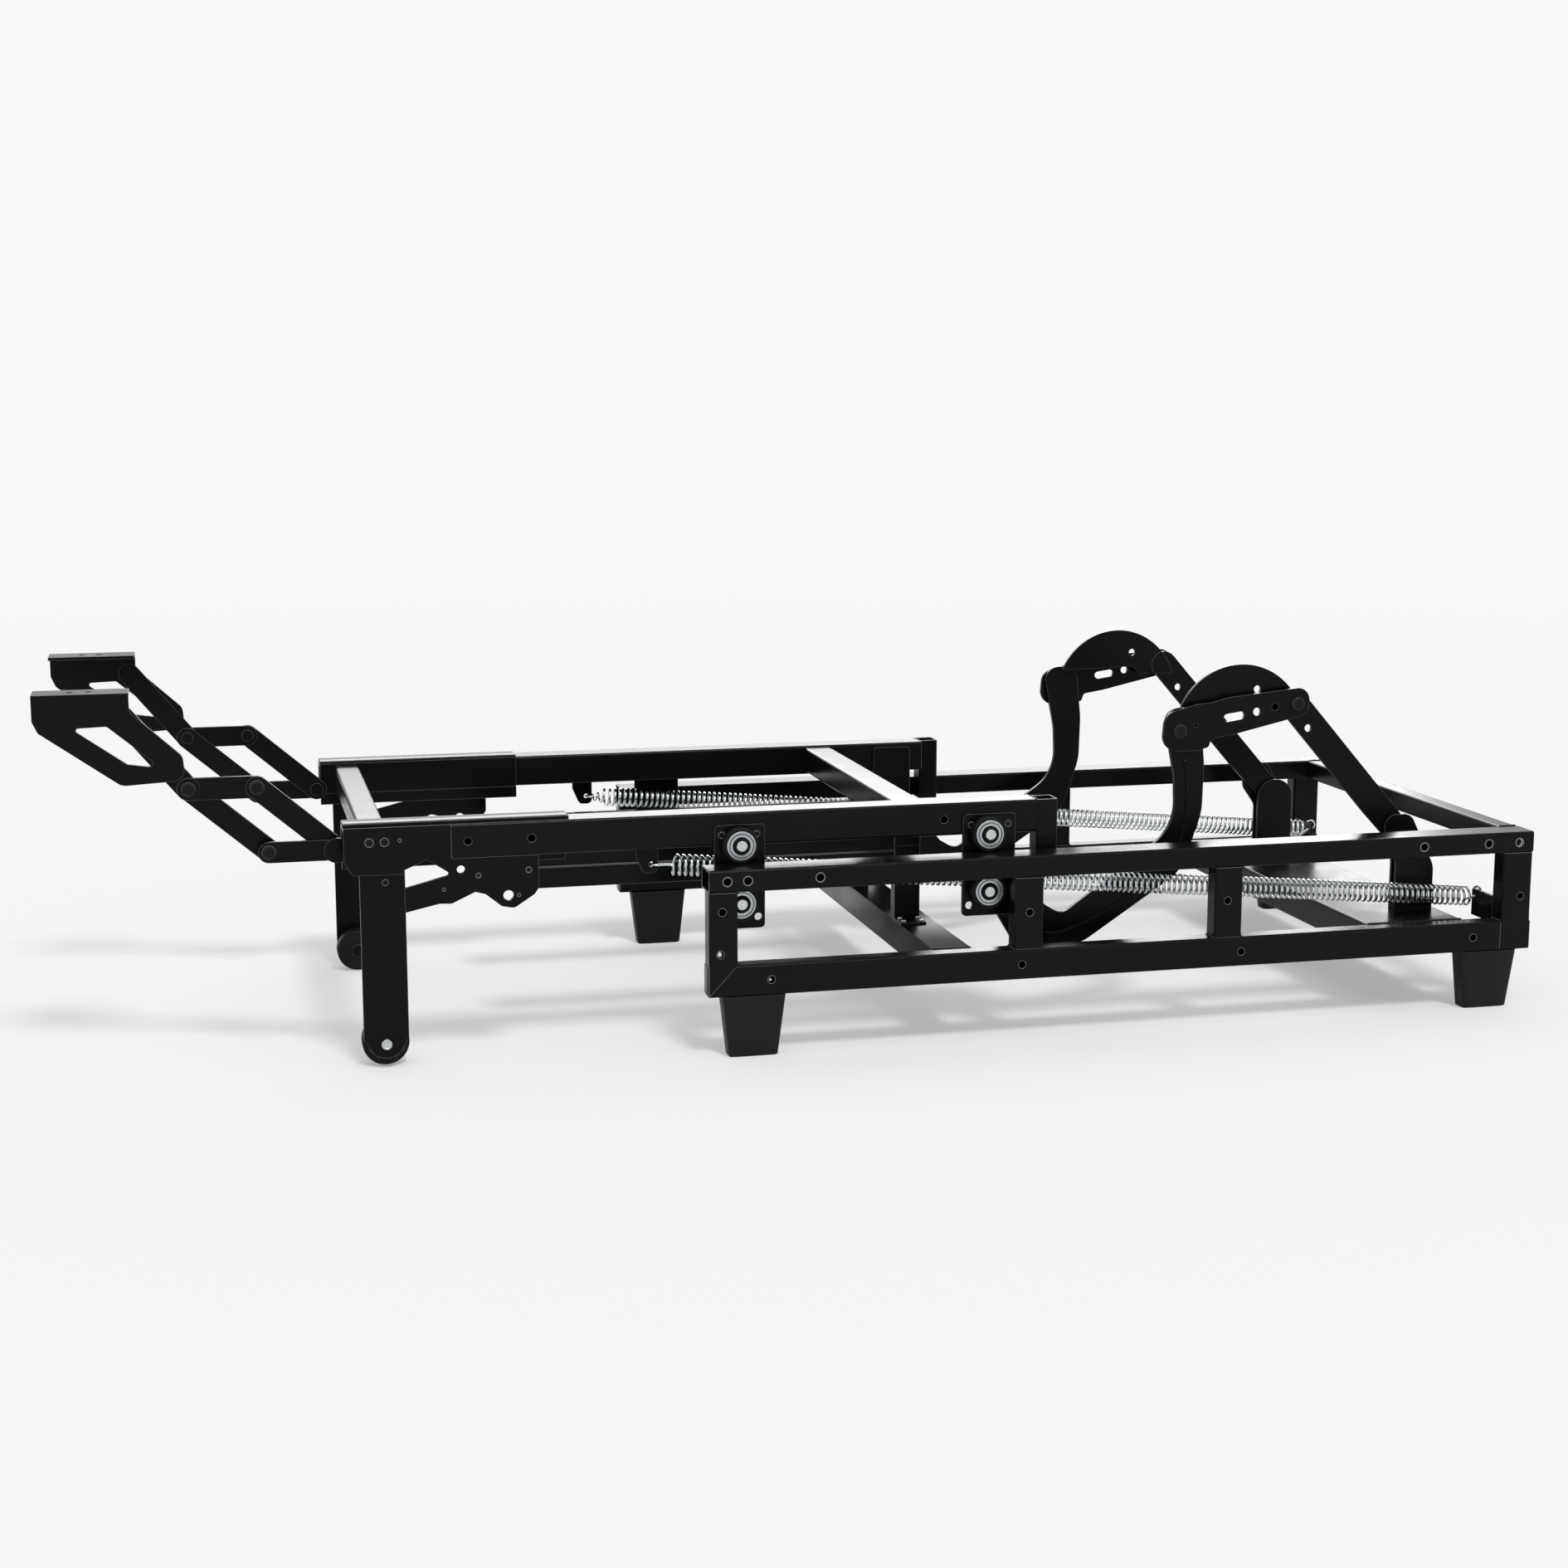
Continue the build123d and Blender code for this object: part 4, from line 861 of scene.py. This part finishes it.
# A bar, the lip under it, and the block over the drive post.
on_both_sides("drive_bar_cover", [(TUBE_COAT, [
    box_skin((84.6, DRIVE_BAR_FRONT, 151.5), (95.4, DRIVE_BAR_REAR, 167.5), 0.6),
    box_skin((84.0, DRIVE_BAR_FRONT, 150.6), (97.0, DRIVE_BAR_REAR, 152.2), 0.5),
    box_skin((83.7, -190.3, 156.0), (96.3, -164.7, 167.8), 0.4)])], "base")

on_both_sides("lower_rail_end_caps", [(TUBE_COAT, [
    box_skin((LOWER_INNER + 0.3, low, 57.4), (BASE_SIDE - 0.3, high, JOINT_HIGH), 0.3)
    for low, high in ((-BASE_END - 0.5, -BASE_END + 0.7), (BASE_END - 0.7, BASE_END + 0.5))])],
    "base")

# The front cross member is a narrow tube between the lower rails.
member = piece("front_cross_member_tube", [(TUBE_COAT, [
    box_skin((-217.4, -190.5, FOOT_TOP), (217.4, -152.0, LOWER_RAIL_TOP), 1.0)])],
    "base")
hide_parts("front_cross_member")

INNER_PLATE_FRONT = -711.0
INNER_PLATE_REAR = -515.0
on_both_sides("inner_plate_edges", [(PLATE_COAT, [
    box_skin((163.9, INNER_PLATE_FRONT, 213.9), (189.0, INNER_PLATE_REAR, 216.4), 0.5),
    box_skin((163.9, INNER_PLATE_FRONT, 173.0), (166.9, INNER_PLATE_REAR, 184.4), 0.4)])],
    "seat_frame")


# Feet of the drive posts: a small flange with four screws

DRIVE_SCREW = [
    (0.0, -0.2), (2.3, -0.2), (2.3, 1.2), (1.8, 1.8), (0.9, 1.9), (0.7, 1.3), (0.0, 1.3)]
FLANGE = [(97.0, -190.0), (119.0, -190.0), (119.0, -165.0), (97.0, -165.0)]
FLANGE_TOP = LOWER_RAIL_TOP + 2.5


def flange_skin():
    """Plate on the cross member: a rectangle raised by 2.5 mm, drawn in at its top edge."""
    corners = np.array(FLANGE)
    middle = corners.mean(axis=0)
    inset = corners + 0.5 * unit(middle - corners)
    sole = LOWER_RAIL_TOP - 0.1
    rings = [(middle + 0 * corners, sole), (corners, sole), (corners, FLANGE_TOP - 0.5)]
    rings += [(inset, FLANGE_TOP), (middle + 0 * corners, FLANGE_TOP)]
    return skin(np.stack([np.column_stack([ring, np.full(4, z)]) for ring, z in rings]))


on_both_sides("drive_post_flange", [
    (PLATE_COAT, [flange_skin()]),
    (BRIGHT_ZINC, [upright((x, y), FLANGE_TOP, DRIVE_SCREW)
                   for x in (101.5, 114.5) for y in (-186.0, -169.0)])],
    "base")


# Camera, 2.3 m to the right of the middle and beside the footrest links, 0.6 m up. Its place
# is in metres, and it is turned back and tilted down by the angles below.

CAMERA = np.array([2.2762, -0.54835, 0.5994])
YAW = np.radians(13.713)
PITCH = np.radians(9.588)
LENS = 55.966

look = np.array([-np.cos(YAW) * np.cos(PITCH), np.sin(YAW) * np.cos(PITCH), -np.sin(PITCH)])
right = np.array([np.sin(YAW), np.cos(YAW), 0.0])
up = np.cross(right, look)
lens = bpy.data.cameras.new("camera")
lens.lens = LENS
lens.sensor_width = 36.0
lens.clip_end = 100.0
camera = bpy.data.objects.new("camera", lens)
turn = Matrix([right.tolist(), up.tolist(), (-look).tolist()]).transposed().to_4x4()
camera.matrix_world = Matrix.Translation(CAMERA.tolist()) @ turn
bpy.context.scene.collection.objects.link(camera)
bpy.context.scene.camera = camera


# Studio: a pale floor that runs into a white surround, a soft sun, and a panel behind that
# shows only in reflections

SURROUND = linear("#f9f9f8")


def studio_floor():
    """Flat disc of rings: r cos t, r sin t, 0, with r growing from the middle."""
    radius = np.array([0.0, 1.0, 2.0, 4.0, 8.0, 16.0, 40.0])
    turn = np.linspace(0, 2 * np.pi, 64, endpoint=False)
    across = radius[:, None] * np.cos(turn)
    back = radius[:, None] * np.sin(turn)
    points, faces = skin(np.stack([across, back, 0 * across], axis=2))
    mesh = bpy.data.meshes.new("studio_floor")
    mesh.from_pydata(points.tolist(), [], faces.tolist())
    shape = bmesh.new()
    shape.from_mesh(mesh)
    bmesh.ops.remove_doubles(shape, verts=shape.verts, dist=1e-6)
    bmesh.ops.recalc_face_normals(shape, faces=shape.faces)
    shape.to_mesh(mesh)
    shape.free()
    made = bpy.data.objects.new("studio_floor", mesh)
    bpy.context.scene.collection.objects.link(made)
    return made


def matt_paper():
    """White seamless paper: matt, and fading into the white surround with distance."""
    material, tree = empty_material("matt_white_paper")
    place = node(tree, "ShaderNodeTexCoord", {}, {})
    far = node(tree, "ShaderNodeVectorMath", {"operation": "LENGTH"}, {0: (place, "Object")})
    fade = node(tree, "ShaderNodeMapRange", {"interpolation_type": "SMOOTHSTEP"}, {
        "Value": (far, "Value"), "From Min": 1.6, "From Max": 6.0, "To Min": 0.3})
    paper = node(tree, "ShaderNodeBsdfDiffuse", {}, {"Color": linear("#f8f8f7")})
    surround = node(tree, "ShaderNodeEmission", {}, {"Color": SURROUND})
    path = node(tree, "ShaderNodeLightPath", {}, {})
    seen = node(tree, "ShaderNodeMath", {"operation": "MULTIPLY"}, {
        0: (fade, "Result"), 1: (path, "Is Camera Ray")})
    blend = node(tree, "ShaderNodeMixShader", {}, {
        0: (seen, "Value"), 1: (paper, "BSDF"), 2: (surround, "Emission")})
    node(tree, "ShaderNodeOutputMaterial", {}, {"Surface": (blend, "Shader")})
    return material


studio_floor().data.materials.append(matt_paper())

world = bpy.data.worlds.new("studio")
bpy.context.scene.world = world
world.use_nodes = True
tree = world.node_tree
tree.nodes.clear()
path = node(tree, "ShaderNodeLightPath", {}, {})
seen = node(tree, "ShaderNodeMath", {"operation": "ADD", "use_clamp": True}, {
    0: (path, "Is Camera Ray"), 1: (path, "Is Glossy Ray")})
shown = node(tree, "ShaderNodeMath", {"operation": "ADD", "use_clamp": True}, {
    0: (seen, "Value"), 1: (path, "Is Transmission Ray")})
ambient = node(tree, "ShaderNodeBackground", {}, {"Color": linear("#ffffff"), "Strength": 0.62})
surround = node(tree, "ShaderNodeBackground", {}, {"Color": SURROUND, "Strength": 1.0})
mixed = node(tree, "ShaderNodeMixShader", {}, {
    0: (shown, "Value"), 1: (ambient, "Background"), 2: (surround, "Background")})
node(tree, "ShaderNodeOutputWorld", {}, {"Surface": (mixed, "Shader")})


def lamp(name, kind, place, target, settings):
    """Lamp that shines from a place to a target, in metres. Only a sun lights matt surfaces:
    a panel is seen in the gloss of the coat and leaves the paper alone."""
    light = bpy.data.lights.new(name, kind)
    for setting, value in settings.items():
        setattr(light, setting, value)
    made = bpy.data.objects.new(name, light)
    made.visible_camera = False
    made.visible_diffuse = kind == "SUN"
    away = unit(np.array(place, float) - np.array(target, float))
    side = unit(np.cross((0.0, 0.1, 1.0), away))
    turn = Matrix([side.tolist(), np.cross(away, side).tolist(), away.tolist()]).transposed()
    made.matrix_world = Matrix.Translation(place) @ turn.to_4x4()
    bpy.context.scene.collection.objects.link(made)


lamp("key_lamp", "SUN", (1.9, 0.6, 3.0), (0.0, 0.2, 0.0),
     {"energy": 1.35, "angle": np.radians(12.0)})
lamp("back_panel", "AREA", (-3.2, 0.95, 1.4), (0.0, 0.2, 0.15),
     {"shape": "RECTANGLE", "size": 2.9, "size_y": 1.2, "energy": 62.0})

bpy.context.scene.view_settings.view_transform = "Standard"
